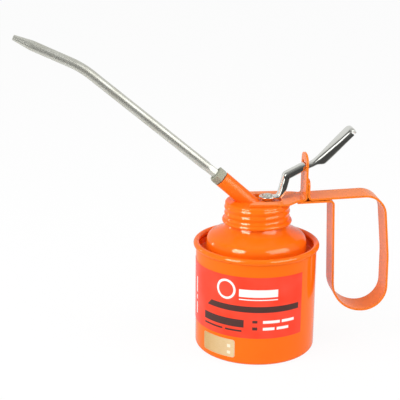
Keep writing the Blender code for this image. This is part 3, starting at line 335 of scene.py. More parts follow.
def rounded(corners, step_degrees=6):
    """A path of points through corners (x, z, radius), with an arc at each corner that has a radius."""
    points = []
    for index, (x, z, radius) in enumerate(corners):
        here = Vector((x, z))
        if radius == 0 or index in (0, len(corners) - 1):
            points.append(here)
            continue
        before = (Vector(corners[index - 1][:2]) - here).normalized()
        after = (Vector(corners[index + 1][:2]) - here).normalized()
        half = before.angle(after) / 2
        reach = radius / math.tan(half)
        centre = here + (before + after).normalized() * (radius / math.sin(half))
        start = here + before * reach - centre
        turn = start.angle_signed(here + after * reach - centre)
        steps = max(3, math.ceil(math.degrees(abs(turn)) / step_degrees))
        for step in range(steps + 1):
            spoke = start.copy()
            spoke.rotate(Matrix.Rotation(-turn * step / steps, 2))
            points.append(centre + spoke)
    return points


def arc(centre, radius, start, end, steps):
    """Points of an arc, with angles in degrees from +r towards +z."""
    angles = [math.radians(start + (end - start) * step / steps) for step in range(steps + 1)]
    return [centre + radius * Vector((math.cos(turn), math.sin(turn))) for turn in angles]


def spaced(points, spacing):
    """The same path with points added, so that no stretch is longer than spacing."""
    path = [points[0]]
    for start, end in zip(points, points[1:]):
        steps = max(1, math.ceil((end - start).length / spacing))
        path += [start.lerp(end, step / steps) for step in range(1, steps + 1)]
    return path


def normals(points):
    """At each point of a path, the miter vector to its left, with a length of 1 / cos(half turn)."""
    left = []
    for index, here in enumerate(points):
        ahead = (points[min(index + 1, len(points) - 1)] - here).normalized()
        behind = (here - points[max(index - 1, 0)]).normalized()
        ahead = ahead if ahead.length else behind
        behind = behind if behind.length else ahead
        middle = (ahead + behind).normalized()
        side = Vector((-middle.y, middle.x))
        left.append(side / max(side.dot(Vector((-ahead.y, ahead.x))), 0.5))
    return left


def beside(points, distance):
    """The path moved to its left by a distance."""
    return [point + side * distance for point, side in zip(points, normals(points))]


def travelled(points):
    """The distance along the path at each point."""
    lengths = [0.0]
    for start, end in zip(points, points[1:]):
        lengths.append(lengths[-1] + (end - start).length)
    return lengths


def point_at(path, lengths, along):
    """The point at a distance along a path."""
    for index in range(len(path) - 1):
        if along <= lengths[index + 1] or index == len(path) - 2:
            share = (along - lengths[index]) / (lengths[index + 1] - lengths[index])
            return path[index].lerp(path[index + 1], share)
    return path[-1]


def nearest(path, lengths, mark):
    """The distance along a path at its point that lies nearest to a mark."""
    return min(zip(path, lengths), key=lambda pair: (pair[0] - mark).length)[1]


def between(value, keys):
    """Smooth interpolation in a list of (place, result) keys."""
    if value <= keys[0][0]:
        return keys[0][1]
    for (low, first), (high, second) in zip(keys, keys[1:]):
        if value <= high:
            share = (value - low) / (high - low)
            share = share * share * (3 - 2 * share)
            return first + (second - first) * share
    return keys[-1][1]


def turned(profile, steps, closed=True, axis_x=0.0):
    """A bmesh spun round a vertical axis. A profile that isn't closed starts and ends on the axis."""
    shape = bmesh.new()
    line = [shape.verts.new((radius, 0.0, z)) for radius, z in profile]
    edges = [shape.edges.new(pair) for pair in zip(line, line[1:])]
    if closed:
        edges.append(shape.edges.new((line[-1], line[0])))
    bmesh.ops.spin(
        shape, geom=line + edges, cent=(0, 0, 0), axis=(0, 0, 1),
        angle=2 * math.pi, steps=steps, use_merge=True,
    )
    bmesh.ops.remove_doubles(shape, verts=shape.verts, dist=MERGE)
    bmesh.ops.translate(shape, verts=shape.verts, vec=(axis_x, 0, 0))
    return shape


def along_spout(shape):
    """Lays a bmesh that stands on Z along the spout's axis."""
    lean = Vector((0, 0, 1)).rotation_difference(SPOUT_AXIS).to_matrix()
    bmesh.ops.rotate(shape, verts=shape.verts, cent=(0, 0, 0), matrix=lean)
    bmesh.ops.translate(shape, verts=shape.verts, vec=SPOUT_FOOT)
    return shape


def grown(shape, ring):
    """Extrudes a closed ring of vertices, and returns the new ring in the same order."""
    edges = [shape.edges.get(pair) for pair in zip(ring, ring[1:] + ring[:1])]
    parts = bmesh.ops.extrude_edge_only(shape, edges=edges)["geom"]
    fresh = {part for part in parts if isinstance(part, bmesh.types.BMVert)}
    return [
        next(edge.other_vert(old) for edge in old.link_edges if edge.other_vert(old) in fresh)
        for old in ring
    ]


def first_ring(shape, places):
    """A closed ring of vertices and edges."""
    ring = [shape.verts.new(place) for place in places]
    for pair in zip(ring, ring[1:] + ring[:1]):
        shape.edges.new(pair)
    return ring


def drawn(shape, sections):
    """A wall extruded from section to section. Returns the first and the last ring."""
    first = ring = first_ring(shape, sections[0])
    for places in sections[1:]:
        ring = grown(shape, ring)
        for vertex, place in zip(ring, places):
            vertex.co = place
    return first, ring


def flat_sheet(outline, holes, cuts):
    """A flat sheet with its outline in (along, across), cut across at each of the cuts."""
    shape = bmesh.new()
    edges = []
    for loop in (outline, *holes):
        ring = first_ring(shape, [(along, across, 0.0) for along, across in loop])
        edges += [shape.edges.get(pair) for pair in zip(ring, ring[1:] + ring[:1])]
    bmesh.ops.triangle_fill(shape, use_beauty=True, use_dissolve=False, edges=edges)
    for along in cuts:
        everything = shape.verts[:] + shape.edges[:] + shape.faces[:]
        bmesh.ops.bisect_plane(
            shape, geom=everything, dist=MERGE, plane_co=(along, 0, 0), plane_no=(1, 0, 0),
        )
    return shape


def bent_strap(path, outline, holes=()):
    """A sheet's middle surface laid along a path in the XZ plane, with its width along Y."""
    lengths = travelled(path)
    shape = flat_sheet(outline, holes, lengths[1:-1])
    for vertex in shape.verts:
        spot = point_at(path, lengths, vertex.co.x)
        vertex.co = (spot.x, vertex.co.y, spot.y)
    return shape


def refined_copy(node):
    """A bmesh of a CAD node with its loose triangles merged and its flat faces whole."""
    shape = bmesh.new()
    shape.from_mesh(frame["nodes"][node].data)
    bmesh.ops.remove_doubles(shape, verts=shape.verts, dist=1e-6)
    bmesh.ops.dissolve_limit(
        shape, angle_limit=math.radians(0.5), verts=shape.verts, edges=shape.edges,
    )
    return shape


def mesh_of(name, shape):
    """A mesh of a bmesh, which is then freed."""
    mesh = bpy.data.meshes.new(name)
    shape.to_mesh(mesh)
    shape.free()
    return mesh


def placed(name, data):
    """An object in the scene."""
    item = bpy.data.objects.new(name, data)
    bpy.context.scene.collection.objects.link(item)
    return item


def finished(name, shape, node, material, sharp=35.0):
    """Makes the piece of a bmesh, on the body of a CAD node, which it stands for."""
    bmesh.ops.remove_doubles(shape, verts=shape.verts, dist=MERGE)
    bmesh.ops.recalc_face_normals(shape, faces=shape.faces)
    mesh = mesh_of(name, shape)
    mesh.shade_smooth()
    mesh.set_sharp_from_angle(angle=math.radians(sharp))
    mesh.materials.append(material)
    piece = placed(name, mesh)
    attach(piece, BODIES[node])
    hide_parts(node)
    return piece


def thickened(piece, thickness):
    """Gives a sheet its thickness, half to each side."""
    wall = piece.modifiers.new("Sheet", "SOLIDIFY")
    wall.thickness = thickness
    wall.offset = 0.0
    wall.use_even_offset = True


def eased(piece, width, segments=2, angle=40.0):
    """Rounds a piece's sharp edges."""
    bevel = piece.modifiers.new("Edges", "BEVEL")
    bevel.width = width
    bevel.segments = segments
    bevel.limit_method = "ANGLE"
    bevel.angle_limit = math.radians(angle)
    bevel.harden_normals = True


def bored(piece, drill):
    """Takes a closed bmesh away from a piece."""
    bmesh.ops.recalc_face_normals(drill, faces=drill.faces)
    cutter = placed("drill", mesh_of("drill", drill))
    hole = piece.modifiers.new("Hole", "BOOLEAN")
    hole.operation = "DIFFERENCE"
    hole.solver = "EXACT"
    hole.object = cutter
    bpy.context.view_layer.update()
    result = piece.evaluated_get(bpy.context.evaluated_depsgraph_get())
    holed = bpy.data.meshes.new_from_object(result)
    piece.modifiers.clear()
    holed.set_sharp_from_angle(angle=math.radians(35))
    piece.data = holed
    bpy.data.objects.remove(cutter, do_unlink=True)


def new_group(name, inputs, outputs):
    """An empty shader group, with inputs as {name: default} and the names of its outputs."""
    group = bpy.data.node_groups.new(name, "ShaderNodeTree")
    for way, titles in (("INPUT", inputs), ("OUTPUT", outputs)):
        for title in titles:
            kind = "NodeSocket" + SOCKET_KINDS.get(title, "Float")
            socket = group.interface.new_socket(name=title, in_out=way, socket_type=kind)
            if way == "INPUT" and inputs[title] is not None:
                socket.default_value = inputs[title]
    start = group.nodes.new("NodeGroupInput")
    end = group.nodes.new("NodeGroupOutput")
    return group, start.outputs, end.inputs


def node(tree, kind, settings=None, **sockets):
    """Adds a node. A socket's value is a number, a colour, or another node's output."""
    made = tree.nodes.new(kind)
    for key, value in (settings or {}).items():
        setattr(made, key, value)
    for key, value in sockets.items():
        place = made.inputs[int(key[1:])] if key[0] == "i" and key[1:].isdigit() else made.inputs[key]
        if isinstance(value, bpy.types.NodeSocket):
            tree.links.new(value, place)
        else:
            place.default_value = value
    return made


def grouped(tree, group, **sockets):
    """Adds a group node, and returns its outputs."""
    return node(tree, "ShaderNodeGroup", {"node_tree": group}, **sockets).outputs


def object_place(tree):
    """The place on the piece, in metres."""
    return node(tree, "ShaderNodeTexCoord").outputs["Object"]


def maths(tree, operation, *values):
    """A Math node's result."""
    sockets = {f"i{index}": value for index, value in enumerate(values)}
    return node(tree, "ShaderNodeMath", {"operation": operation}, **sockets).outputs[0]


def joined(tree, operation, values):
    """One Math operation over a list of values, such as the highest of several masks."""
    whole = values[0]
    for value in values[1:]:
        whole = maths(tree, operation, whole, value)
    return whole


def noise(tree, place, scale, detail=2.0, rough=0.5):
    """A noise value of 0 to 1."""
    made = node(tree, "ShaderNodeTexNoise", None, Vector=place, Scale=scale, Detail=detail, Roughness=rough)
    return made.outputs["Fac"]


def spread(tree, value, low, high, new_low=0.0, new_high=1.0):
    """Stretches a value's range to a new range, and clamps it."""
    sockets = {"i0": value, "i1": low, "i2": high, "i3": new_low, "i4": new_high}
    return node(tree, "ShaderNodeMapRange", {"clamp": True}, **sockets).outputs[0]


def mixed(tree, share, first, second, blend="MIX"):
    """A mix of two colours."""
    sockets = {"i0": share, "i6": first, "i7": second}
    return node(tree, "ShaderNodeMix", {"data_type": "RGBA", "blend_type": blend}, **sockets).outputs[2]


def mixed_value(tree, share, first, second):
    """A mix of two numbers."""
    return node(tree, "ShaderNodeMix", {"data_type": "FLOAT"}, i0=share, i2=first, i3=second).outputs[0]


def enamel_skin():
    """Stoved enamel: slight waviness, faint clouds in its tone, and a little dust in its gloss."""
    if "enamel_skin" in bpy.data.node_groups:
        return bpy.data.node_groups["enamel_skin"]
    group, given, out = new_group(
        "enamel_skin", {"Place": None, "Colour": (0.9, 0.2, 0.02, 1.0), "Clouds": 0.1, "Gloss": 0.2},
        ("Colour", "Roughness", "Height"),
    )
    cloud = noise(group, given["Place"], 42.0, 3.0)
    deeper = mixed(group, 1.0, given["Colour"], (0.86, 0.80, 0.70, 1.0), "MULTIPLY")
    amount = maths(group, "MULTIPLY", spread(group, cloud, 0.35, 0.70), given["Clouds"])
    toned = mixed(group, amount, given["Colour"], deeper)
    group.links.new(toned, out["Colour"])
    dust = spread(group, noise(group, given["Place"], 620.0, 4.0, 0.65), 0.55, 0.80, 0.0, 0.06)
    group.links.new(maths(group, "ADD", given["Gloss"], dust), out["Roughness"])
    wave = noise(group, given["Place"], 310.0, 1.0)
    swell = noise(group, given["Place"], 75.0, 1.0)
    group.links.new(maths(group, "MULTIPLY_ADD", swell, 1.6, wave), out["Height"])
    return group


def plated_skin():
    """Plated metal: cloudy tarnish, fine drawn lines along one axis, and small pits."""
    if "plated_skin" in bpy.data.node_groups:
        return bpy.data.node_groups["plated_skin"]
    group, given, out = new_group(
        "plated_skin",
        {"Place": None, "Lines": None, "Colour": (0.6, 0.6, 0.6, 1.0), "Tarnish": 0.2, "Gloss": 0.2,
         "Drawn": 0.1},
        ("Colour", "Roughness", "Height"),
    )
    cloud = spread(group, noise(group, given["Place"], 95.0), 0.42, 0.68)
    stain = maths(group, "MULTIPLY", cloud, given["Tarnish"])
    dulled = mixed(group, 1.0, given["Colour"], (0.62, 0.58, 0.50, 1.0), "MULTIPLY")
    group.links.new(mixed(group, stain, given["Colour"], dulled), out["Colour"])
    lines = noise(group, given["Lines"], 700.0)
    rough = maths(group, "MULTIPLY_ADD", lines, given["Drawn"], given["Gloss"])
    group.links.new(maths(group, "MULTIPLY_ADD", stain, 0.25, rough), out["Roughness"])
    group.links.new(maths(group, "MULTIPLY_ADD", lines, given["Drawn"], cloud), out["Height"])
    return group


def printed_box():
    """A mask that is 1 inside a box on the label, in millimetres from its lower left corner."""
    if "printed_box" in bpy.data.node_groups:
        return bpy.data.node_groups["printed_box"]
    group, given, out = new_group(
        "printed_box",
        {"Place": None, "Left": 0.0, "Right": 1.0, "Low": 0.0, "High": 1.0, "Slant": 0.0}, ("Mask",),
    )
    split = node(group, "ShaderNodeSeparateXYZ", None, Vector=given["Place"])
    across, up = split.outputs[0], split.outputs[1]
    lifted = maths(group, "SUBTRACT", up, given["Low"])
    leaned = maths(group, "SUBTRACT", across, maths(group, "MULTIPLY", lifted, given["Slant"]))
    edges = (
        maths(group, "SUBTRACT", leaned, given["Left"]), maths(group, "SUBTRACT", given["Right"], across),
        lifted, maths(group, "SUBTRACT", given["High"], up),
    )
    inside = [spread(group, distance, -PRINT_EDGE, PRINT_EDGE) for distance in edges]
    group.links.new(joined(group, "MULTIPLY", inside), out["Mask"])
    return group


def printed_ring():
    """A mask that is 1 on a ring on the label, in millimetres from its lower left corner."""
    if "printed_ring" in bpy.data.node_groups:
        return bpy.data.node_groups["printed_ring"]
    group, given, out = new_group(
        "printed_ring", {"Place": None, "Centre": None, "Radius": 5.0, "Line": 1.0}, ("Mask",),
    )
    gap = node(
        group, "ShaderNodeVectorMath", {"operation": "DISTANCE"}, i0=given["Place"], i1=given["Centre"],
    ).outputs["Value"]
    away = maths(group, "ABSOLUTE", maths(group, "SUBTRACT", gap, given["Radius"]))
    half = maths(group, "MULTIPLY", given["Line"], 0.5)
    mask = spread(group, maths(group, "SUBTRACT", half, away), -PRINT_EDGE, PRINT_EDGE)
    group.links.new(mask, out["Mask"])
    return group


def new_material(name, rough, metallic=0.0, specular=0.5):
    """A material with a Principled shader. Returns the material, its tree and the shader's inputs."""
    if name in bpy.data.materials:
        bpy.data.materials.remove(bpy.data.materials[name])
    material = bpy.data.materials.new(name)
    material.use_nodes = True
    shader = material.node_tree.nodes["Principled BSDF"].inputs
    shader["Roughness"].default_value = rough
    shader["Metallic"].default_value = metallic
    shader["Specular IOR Level"].default_value = specular
    return material, material.node_tree, shader


def bumped(tree, height, distance, strength, shader):
    """Feeds a height to the shader's Normal through a Bump node."""
    bump = node(tree, "ShaderNodeBump", None, Height=height, Distance=distance, Strength=strength)
    tree.links.new(bump.outputs[0], shader["Normal"])


def enamel(name="oil_can_enamel", gloss=0.10, specular=0.18, colour=None):
    """The orange enamel of the can and the pump head."""
    if name in bpy.data.materials:
        return bpy.data.materials[name]
    finish = bpy.context.scene.oil_can_finish
    material, tree, shader = new_material(name, 0.3, specular=specular)
    skin = grouped(
        tree, enamel_skin(), Place=object_place(tree), Colour=(*(colour or finish.enamel), 1.0),
        Clouds=0.2, Gloss=gloss,
    )
    tree.links.new(skin["Colour"], shader["Base Color"])
    tree.links.new(skin["Roughness"], shader["Roughness"])
    bumped(tree, skin["Height"], finish.peel, 0.35, shader)
    return material


def strap_enamel():
    """The enamel of the bracket and the handle, which is a little duller."""
    return enamel("strap_enamel", 0.22, 0.22, bpy.context.scene.oil_can_finish.strap)


def metal(name, colour, tarnish, gloss, drawn_lines, line_scale=(1.0, 1.0, 1.0), metallic=1.0, ripple=0.0):
    """A plated or bare metal."""
    if name in bpy.data.materials:
        return bpy.data.materials[name]
    material, tree, shader = new_material(name, gloss, metallic)
    place = object_place(tree)
    stretched = node(tree, "ShaderNodeMapping", None, Vector=place, Scale=line_scale).outputs[0]
    skin = grouped(
        tree, plated_skin(), Place=place, Lines=stretched, Colour=(*colour, 1.0), Tarnish=tarnish,
        Gloss=gloss, Drawn=drawn_lines,
    )
    tree.links.new(skin["Colour"], shader["Base Color"])
    tree.links.new(skin["Roughness"], shader["Roughness"])
    height = maths(tree, "MULTIPLY_ADD", noise(tree, place, 160.0, 1.0), ripple, skin["Height"])
    bumped(tree, height, 0.00001, 0.15, shader)
    return material


def soft_material(name, colour, rough, grain):
    """Rubber and leather."""
    if name in bpy.data.materials:
        return bpy.data.materials[name]
    material, tree, shader = new_material(name, rough)
    grainy = noise(tree, object_place(tree), grain, 4.0, 0.6)
    dark = tuple(0.7 * part for part in colour)
    toned = mixed(tree, spread(tree, grainy, 0.4, 0.7), (*colour, 1.0), (*dark, 1.0))
    tree.links.new(toned, shader["Base Color"])
    tree.links.new(spread(tree, grainy, 0.3, 0.8, rough - 0.08, rough + 0.08), shader["Roughness"])
    bumped(tree, grainy, 0.00008, 0.4, shader)
    return material


def label_place(tree, width, height):
    """A label's own coordinates in millimetres, from its UV map."""
    flat = node(tree, "ShaderNodeUVMap", {"uv_map": "Print"}).outputs[0]
    scale = (1000 * width, 1000 * height, 1.0)
    return node(tree, "ShaderNodeMapping", None, Vector=flat, Scale=scale).outputs[0]


def field(tree, place, left, right, low, high, slant=0.0):
    """The mask of a printed box, in millimetres from the label's lower left corner."""
    sides = {"Left": left, "Right": right, "Low": low, "High": high, "Slant": slant}
    return grouped(tree, printed_box(), Place=place, **sides)[0]


def front_print():
    """The red front label, with plain fields where the print was."""
    finish = bpy.context.scene.oil_can_finish
    material, tree, shader = new_material("front_label_print", 0.3, specular=0.18)
    first, last, low, high = FRONT_LABEL
    width = math.radians(last - first) * CAN_RADIUS
    place = label_place(tree, width, high - low)

    def across(angle):
        return 1000 * math.radians(angle - first) * CAN_RADIUS

    def box(angle_low, angle_high, z_low, z_high, slant=0.0):
        """A field's mask, from angles in degrees and heights in millimetres."""
        heights = (z_low - 1000 * low, z_high - 1000 * low)
        return field(tree, place, across(angle_low), across(angle_high), *heights, slant)

    red = (*finish.label_red, 1.0)
    paler = mixed(tree, 0.04, red, (1.0, 0.62, 0.52, 1.0))
    ground = mixed(tree, spread(tree, noise(tree, place, 0.05), 0.35, 0.65), red, paler)
    dark = joined(tree, "MAXIMUM", [box(*sides) for sides in DARK_FIELDS])
    ring = grouped(
        tree, printed_ring(), Place=place, Centre=(across(RING_ANGLE), RING_HEIGHT - 1000 * low, 0.0),
        Radius=RING_RADIUS, Line=RING_LINE,
    )[0]
    white = joined(tree, "MAXIMUM", [ring, *(box(*sides) for sides in WHITE_FIELDS)])
    printed = mixed(tree, dark, ground, (*finish.print_dark, 1.0))
    printed = mixed(tree, white, printed, (*finish.print_white, 1.0))
    tree.links.new(printed, shader["Base Color"])
    fine = noise(tree, place, 1.4, 3.0)
    tree.links.new(spread(tree, fine, 0.3, 0.7, 0.15, 0.20), shader["Roughness"])
    ink = maths(tree, "MAXIMUM", dark, white)
    bumped(tree, maths(tree, "MULTIPLY_ADD", ink, 0.6, fine), 0.00001, 0.25, shader)
    return material


def foil_print():
    """The small foil label, with two pale fields, and a painted sheen that makes it paler towards its right
    end.
    """
    finish = bpy.context.scene.oil_can_finish
    material, tree, shader = new_material("foil_label_print", 0.45, metallic=0.1)
    first, last, low, high = FOIL_LABEL
    width, height = math.radians(last - first) * CAN_RADIUS, high - low
    place = label_place(tree, width, height)
    lines = node(tree, "ShaderNodeMapping", None, Vector=place, Scale=(0.25, 3.0, 1.0)).outputs[0]
    grain = noise(tree, lines, 1.2, 3.0, 0.6)
    gold = (*finish.foil, 1.0)
    pale = mixed(tree, 0.45, gold, (0.98, 0.85, 0.60, 1.0))
    across = node(tree, "ShaderNodeSeparateXYZ", None, Vector=place).outputs[0]
    # painted sheen: the foil turns paler towards its right end, where the gloss of the right softbox falls
    painted_sheen = spread(tree, across, 3.0, 24.0, 0.0, 0.6)
    # the pale share is that painted sheen plus random grain in the foil's tone
    share = maths(tree, "ADD", painted_sheen, spread(tree, grain, 0.3, 0.7, 0.0, 0.4))
    toned = mixed(tree, share, gold, pale)
    marks = joined(tree, "MAXIMUM", [field(tree, place, *sides) for sides in FOIL_FIELDS])
    toned = mixed(tree, maths(tree, "MULTIPLY", marks, 0.5), toned, (0.98, 0.95, 0.86, 1.0))
    tree.links.new(toned, shader["Base Color"])
    tree.links.new(spread(tree, grain, 0.3, 0.7, 0.38, 0.50), shader["Roughness"])
    bumped(tree, grain, 0.00001, 0.3, shader)
    return material


class OILCAN_OT_can_wall(bpy.types.Operator):
    """Makes the can's drawn wall, bottom and rolled rim"""

    bl_idname = "oil_can.can_wall"
    bl_label = "Can wall"

    def execute(self, context):
        steps = context.scene.oil_can_shape.round_steps
        under_bead = RIM_CENTRE.y - RIM_BEAD
        outside = rounded([(0.0, 0.0, 0), (CAN_RADIUS, 0.0, CAN_CORNER), (CAN_RADIUS, under_bead, 0)])
        bead = arc(RIM_CENTRE, RIM_BEAD, -75, 255, 30)
        inside = rounded([
            (CAN_BORE, under_bead, 0), (CAN_BORE, CAN_WALL, CAN_CORNER - CAN_WALL), (0.0, CAN_WALL, 0),
        ])
        profile = outside + bead + inside
        finished("can_wall", turned(profile, steps, closed=False), "can_body", enamel())
        return {"FINISHED"}


class OILCAN_OT_shoulder(bpy.types.Operator):
    """Makes the domed shoulder with its moat and neck"""

    bl_idname = "oil_can.shoulder"
    bl_label = "Domed shoulder"

    def execute(self, context):
        half = SHOULDER_WALL / 2
        wall = CAN_BORE - SEAT_GAP - half
        line = rounded([
            (wall, RIM_CENTRE.y - RIM_BEAD - SEAT_GAP, 0), (wall, MOAT_FLOOR, MOAT_CORNER),
            (SKIRT_RADIUS - half, MOAT_FLOOR, MOAT_CORNER), (SKIRT_RADIUS - half, CROWN_Z, CROWN_ROUND),
            (NECK_RADIUS - half, NECK_ROOT_Z, NECK_FILLET), (NECK_RADIUS - half, NECK_TOP, 0),
        ])
        line = beside(line, -half)
        profile = line + list(reversed(beside(line, SHOULDER_WALL)))
        steps = context.scene.oil_can_shape.round_steps
        finished("domed_shoulder", turned(profile, steps), "can_shoulder", enamel())
        return {"FINISHED"}


def wrapped_label(name, label, corner, cad_node, material):
    """A thin sheet on the can's wall, with a UV map of its flat shape."""
    first, last, low, high = label
    width, height = math.radians(last - first) * CAN_RADIUS, high - low
    if corner:
        outline = rounded([
            (width / 2, 0, 0), (width, 0, corner), (width, height, corner), (0, height, corner),
            (0, 0, corner), (width / 2, 0, 0),
        ], 15)[:-1]
    else:
        outline = [Vector(point) for point in ((0, 0), (width, 0), (width, height), (0, height))]
    steps = math.ceil((last - first) / 2)
    shape = flat_sheet(outline, (), [width * step / steps for step in range(1, steps)])
    prints = shape.loops.layers.uv.new("Print")
    for face in shape.faces:
        for loop in face.loops:
            loop[prints].uv = (loop.vert.co.x / width, loop.vert.co.y / height)
    radius = CAN_RADIUS + LABEL_SHEET / 2 + LABEL_GAP
    for vertex in shape.verts:
        angle = math.radians(first) + vertex.co.x / CAN_RADIUS
        vertex.co = (radius * math.cos(angle), radius * math.sin(angle), low + vertex.co.y)
    piece = finished(name, shape, cad_node, material)
    thickened(piece, LABEL_SHEET)
    eased(piece, LABEL_SHEET / 5, 1, 60)


class OILCAN_OT_labels(bpy.types.Operator):
    """Makes the printed front label and the small foil label"""

    bl_idname = "oil_can.labels"
    bl_label = "Labels"

    def execute(self, context):
        wrapped_label("front_print", FRONT_LABEL, 0.0, "front_label", front_print())
        wrapped_label("foil_print", FOIL_LABEL, FOIL_CORNER, "foil_label", foil_print())
        return {"FINISHED"}


class OILCAN_OT_cap(bpy.types.Operator):
    """Makes the screw cap with its rolled thread and curled edge"""

    bl_idname = "oil_can.cap"
    bl_label = "Screw cap"

    def execute(self, context):
        sizes = context.scene.oil_can_shape
        curl = Vector((CAP_RADIUS + CURL_REACH - CURL_RADIUS, CAP_TOP - CAP_SKIRT + CURL_RADIUS))
        wall_low = curl.y + 1.2 * CURL_RADIUS
        outside = [Vector((0.0, CAP_TOP)), Vector((0.5 * CAP_RADIUS, CAP_TOP))]
        corner = Vector((CAP_RADIUS - CAP_SHOULDER, CAP_TOP - CAP_SHOULDER))
        outside += arc(corner, CAP_SHOULDER, 90, 0, 10)
        outside += spaced([outside[-1], Vector((CAP_RADIUS, wall_low))], CAP_STEP)[1:]
        outside += arc(curl, CURL_RADIUS, 62, -120, 16)
        inside = spaced([Vector((CAP_BORE, curl.y)), Vector((CAP_BORE, CAP_TOP - CAP_SHEET))], CAP_STEP)
        inside.append(Vector((0.0, CAP_TOP - CAP_SHEET)))
        shape = turned(outside + inside, sizes.round_steps, closed=False)
        pitch, depth = sizes.thread_pitch, sizes.thread_depth
        zone = [
            (wall_low - 0.0010, 0.0), (wall_low + 0.0001, 1.0),
            (CAP_TOP - 0.0024, 1.0), (CAP_TOP - 0.0013, 0.0),
        ]
        for vertex in shape.verts:
            radius = math.hypot(vertex.co.x, vertex.co.y)
            if radius < CAP_BORE - 0.0001:
                continue
            turns = (vertex.co.z - THREAD_CREST) / pitch - math.atan2(vertex.co.y, vertex.co.x) / math.tau
            wave = (1 + math.cos(math.tau * turns)) / 2
            push = 1 + depth * wave * between(vertex.co.z, zone) / radius
            vertex.co.x *= push
            vertex.co.y *= push
        cap = finished("threaded_cap", shape, "screw_cap", enamel())
        hole = GLAND_RADIUS + SEAT_GAP
        drill = turned([(hole, CAP_TOP + 0.002), (hole, CAP_TOP - 0.002)], 48, closed=False, axis_x=PUMP_X)
        bmesh.ops.holes_fill(drill, edges=drill.edges)
        bored(cap, drill)
        return {"FINISHED"}


class OILCAN_OT_bracket(bpy.types.Operator):
    """Makes the forked plate that turns up as the slotted post"""

    bl_idname = "oil_can.bracket"
    bl_label = "Pump bracket"

    def execute(self, context):
        half = STRAP_SHEET / 2
        level = PLATE_LOW + half
        raised = level + STEP_RISE
        path = rounded([
            (PLATE_LEFT_X, level, 0), (STEP_X, level, STEP_ROUND), (STEP_X + STEP_RUN, raised, STEP_ROUND),
            (POST_X, raised, POST_BEND), (POST_X, POST_TOP, 0),
        ])
        total = travelled(path)[-1]
        arch = total - ARCH_RISE
        wide, narrow = PLATE_WIDTH / 2, STRAP_WIDTH / 2
        taper = PLATE_TAPER_X - PLATE_LEFT_X
        keys = [(taper, wide), (POST_X - 2 * half - PLATE_LEFT_X, narrow)]
        side = [Vector((0.0, wide)), Vector((taper, wide))]
        side += [
            Vector((along, between(along, keys)))
            for along in (taper + (keys[1][0] - taper) * step / 14 for step in range(1, 15))
        ]
        side.append(Vector((arch, narrow)))
        for step in range(1, 24):
            turn = math.pi / 2 * step / 24
            side.append(Vector((
                arch + ARCH_RISE * math.sin(turn) ** (2 / ARCH_POWER),
                narrow * math.cos(turn) ** (2 / ARCH_POWER),
            )))
        opening = FORK_OPENING / 2
        mouth, end = FORK_MOUTH_X - PLATE_LEFT_X, FORK_END_X - PLATE_LEFT_X
        fork = rounded([
            (mouth, -opening, 0), (end, -opening, FORK_CORNER), (end, opening, FORK_CORNER),
            (mouth, opening, 0),
        ], 10)
        outline = side + [Vector((total, 0.0))]
        outline += [Vector((point.x, -point.y)) for point in reversed(side)]
        outline += fork
        low = total - (POST_TOP - WINDOW_LOW)
        across = WINDOW_WIDTH / 2
        window = rounded([
            (low, 0, 0), (low, across, WINDOW_CORNER), (low + WINDOW_HEIGHT, across, WINDOW_CORNER),
            (low + WINDOW_HEIGHT, -across, WINDOW_CORNER), (low, -across, WINDOW_CORNER), (low, 0, 0),
        ], 15)[:-1]
        sheet = bent_strap(path, outline, [window])
        piece = finished("slotted_bracket", sheet, "pump_bracket", strap_enamel(), 60)
        thickened(piece, STRAP_SHEET)
        eased(piece, context.scene.oil_can_shape.strap_edge)
        return {"FINISHED"}


class OILCAN_OT_handle(bpy.types.Operator):
    """Makes the strap handle, from the tab behind the post round to the lower layer"""

    bl_idname = "oil_can.handle"
    bl_label = "Strap handle"

    def execute(self, context):
        half = STRAP_SHEET / 2
        tab_x = POST_X + STRAP_SHEET + SEAT_GAP
        under = PLATE_LOW + STEP_RISE - SEAT_GAP - half
        strip = PLATE_LOW + STEP_RISE + SEAT_GAP + half
        end_x, layer_x = HANDLE_LAYER_X
        path = rounded([
            (tab_x, TAB_TOP, 0), (tab_x, strip, HANDLE_FOLD),
            (HANDLE_TOP_X, strip + HANDLE_TOP_SLOPE * (HANDLE_TOP_X - tab_x), HANDLE_TOP_RADIUS),
            HANDLE_RIGHT, HANDLE_LOW_RIGHT, HANDLE_LOW_LEFT,
            (layer_x, under + HANDLE_LAYER_SLOPE * (layer_x - end_x), HANDLE_FOLD), (end_x, under, 0),
        ], 4)
        total = travelled(path)[-1]
        across = STRAP_WIDTH / 2
        outline = rounded([
            (0, 0, 0), (0, -across, TAB_CORNER), (total, -across, 0), (total, across, 0),
            (0, across, TAB_CORNER), (0, 0, 0),
        ], 10)[:-1]
        piece = finished("handle_strap", bent_strap(path, outline), "handle_loop", strap_enamel(), 60)
        thickened(piece, STRAP_SHEET)
        eased(piece, context.scene.oil_can_shape.strap_edge)
        return {"FINISHED"}


def lever_section(here, side, width, depth, corner):
    """A ring of places: an open channel, its web at the top and its two flanges below."""
    half = width / 2
    sheet = LEVER_SHEET
    edge = min(corner, depth * 0.6, half * 0.8)
    lip = 0.35 * sheet
    turns = [math.pi / 2 * step / 5 for step in range(6)]
    right = [(half - edge + edge * math.sin(turn), edge - edge * math.cos(turn)) for turn in turns]
    if depth > edge + 4 * lip:
        right.append((half, depth - 2 * lip))
    else:
        right.append((half, (edge + depth - lip) / 2))
    right += [(half, depth - lip), (half - 0.3 * lip, depth - 0.3 * lip), (half - lip, depth)]
    right += [
        (half - sheet + lip, depth), (half - sheet + 0.3 * lip, depth - 0.3 * lip),
        (half - sheet, depth - lip),
        (half - sheet, sheet + 0.2 * edge), (half - sheet - 0.15 * edge, sheet + 0.05 * edge),
        (half - sheet - 0.4 * edge, sheet),
    ]
    outline = right + [(-across, down) for across, down in reversed(right)]
    places = []
    for across, down in outline:
        spot = here - side * down
        places.append((spot.x, across, spot.y))
    return places


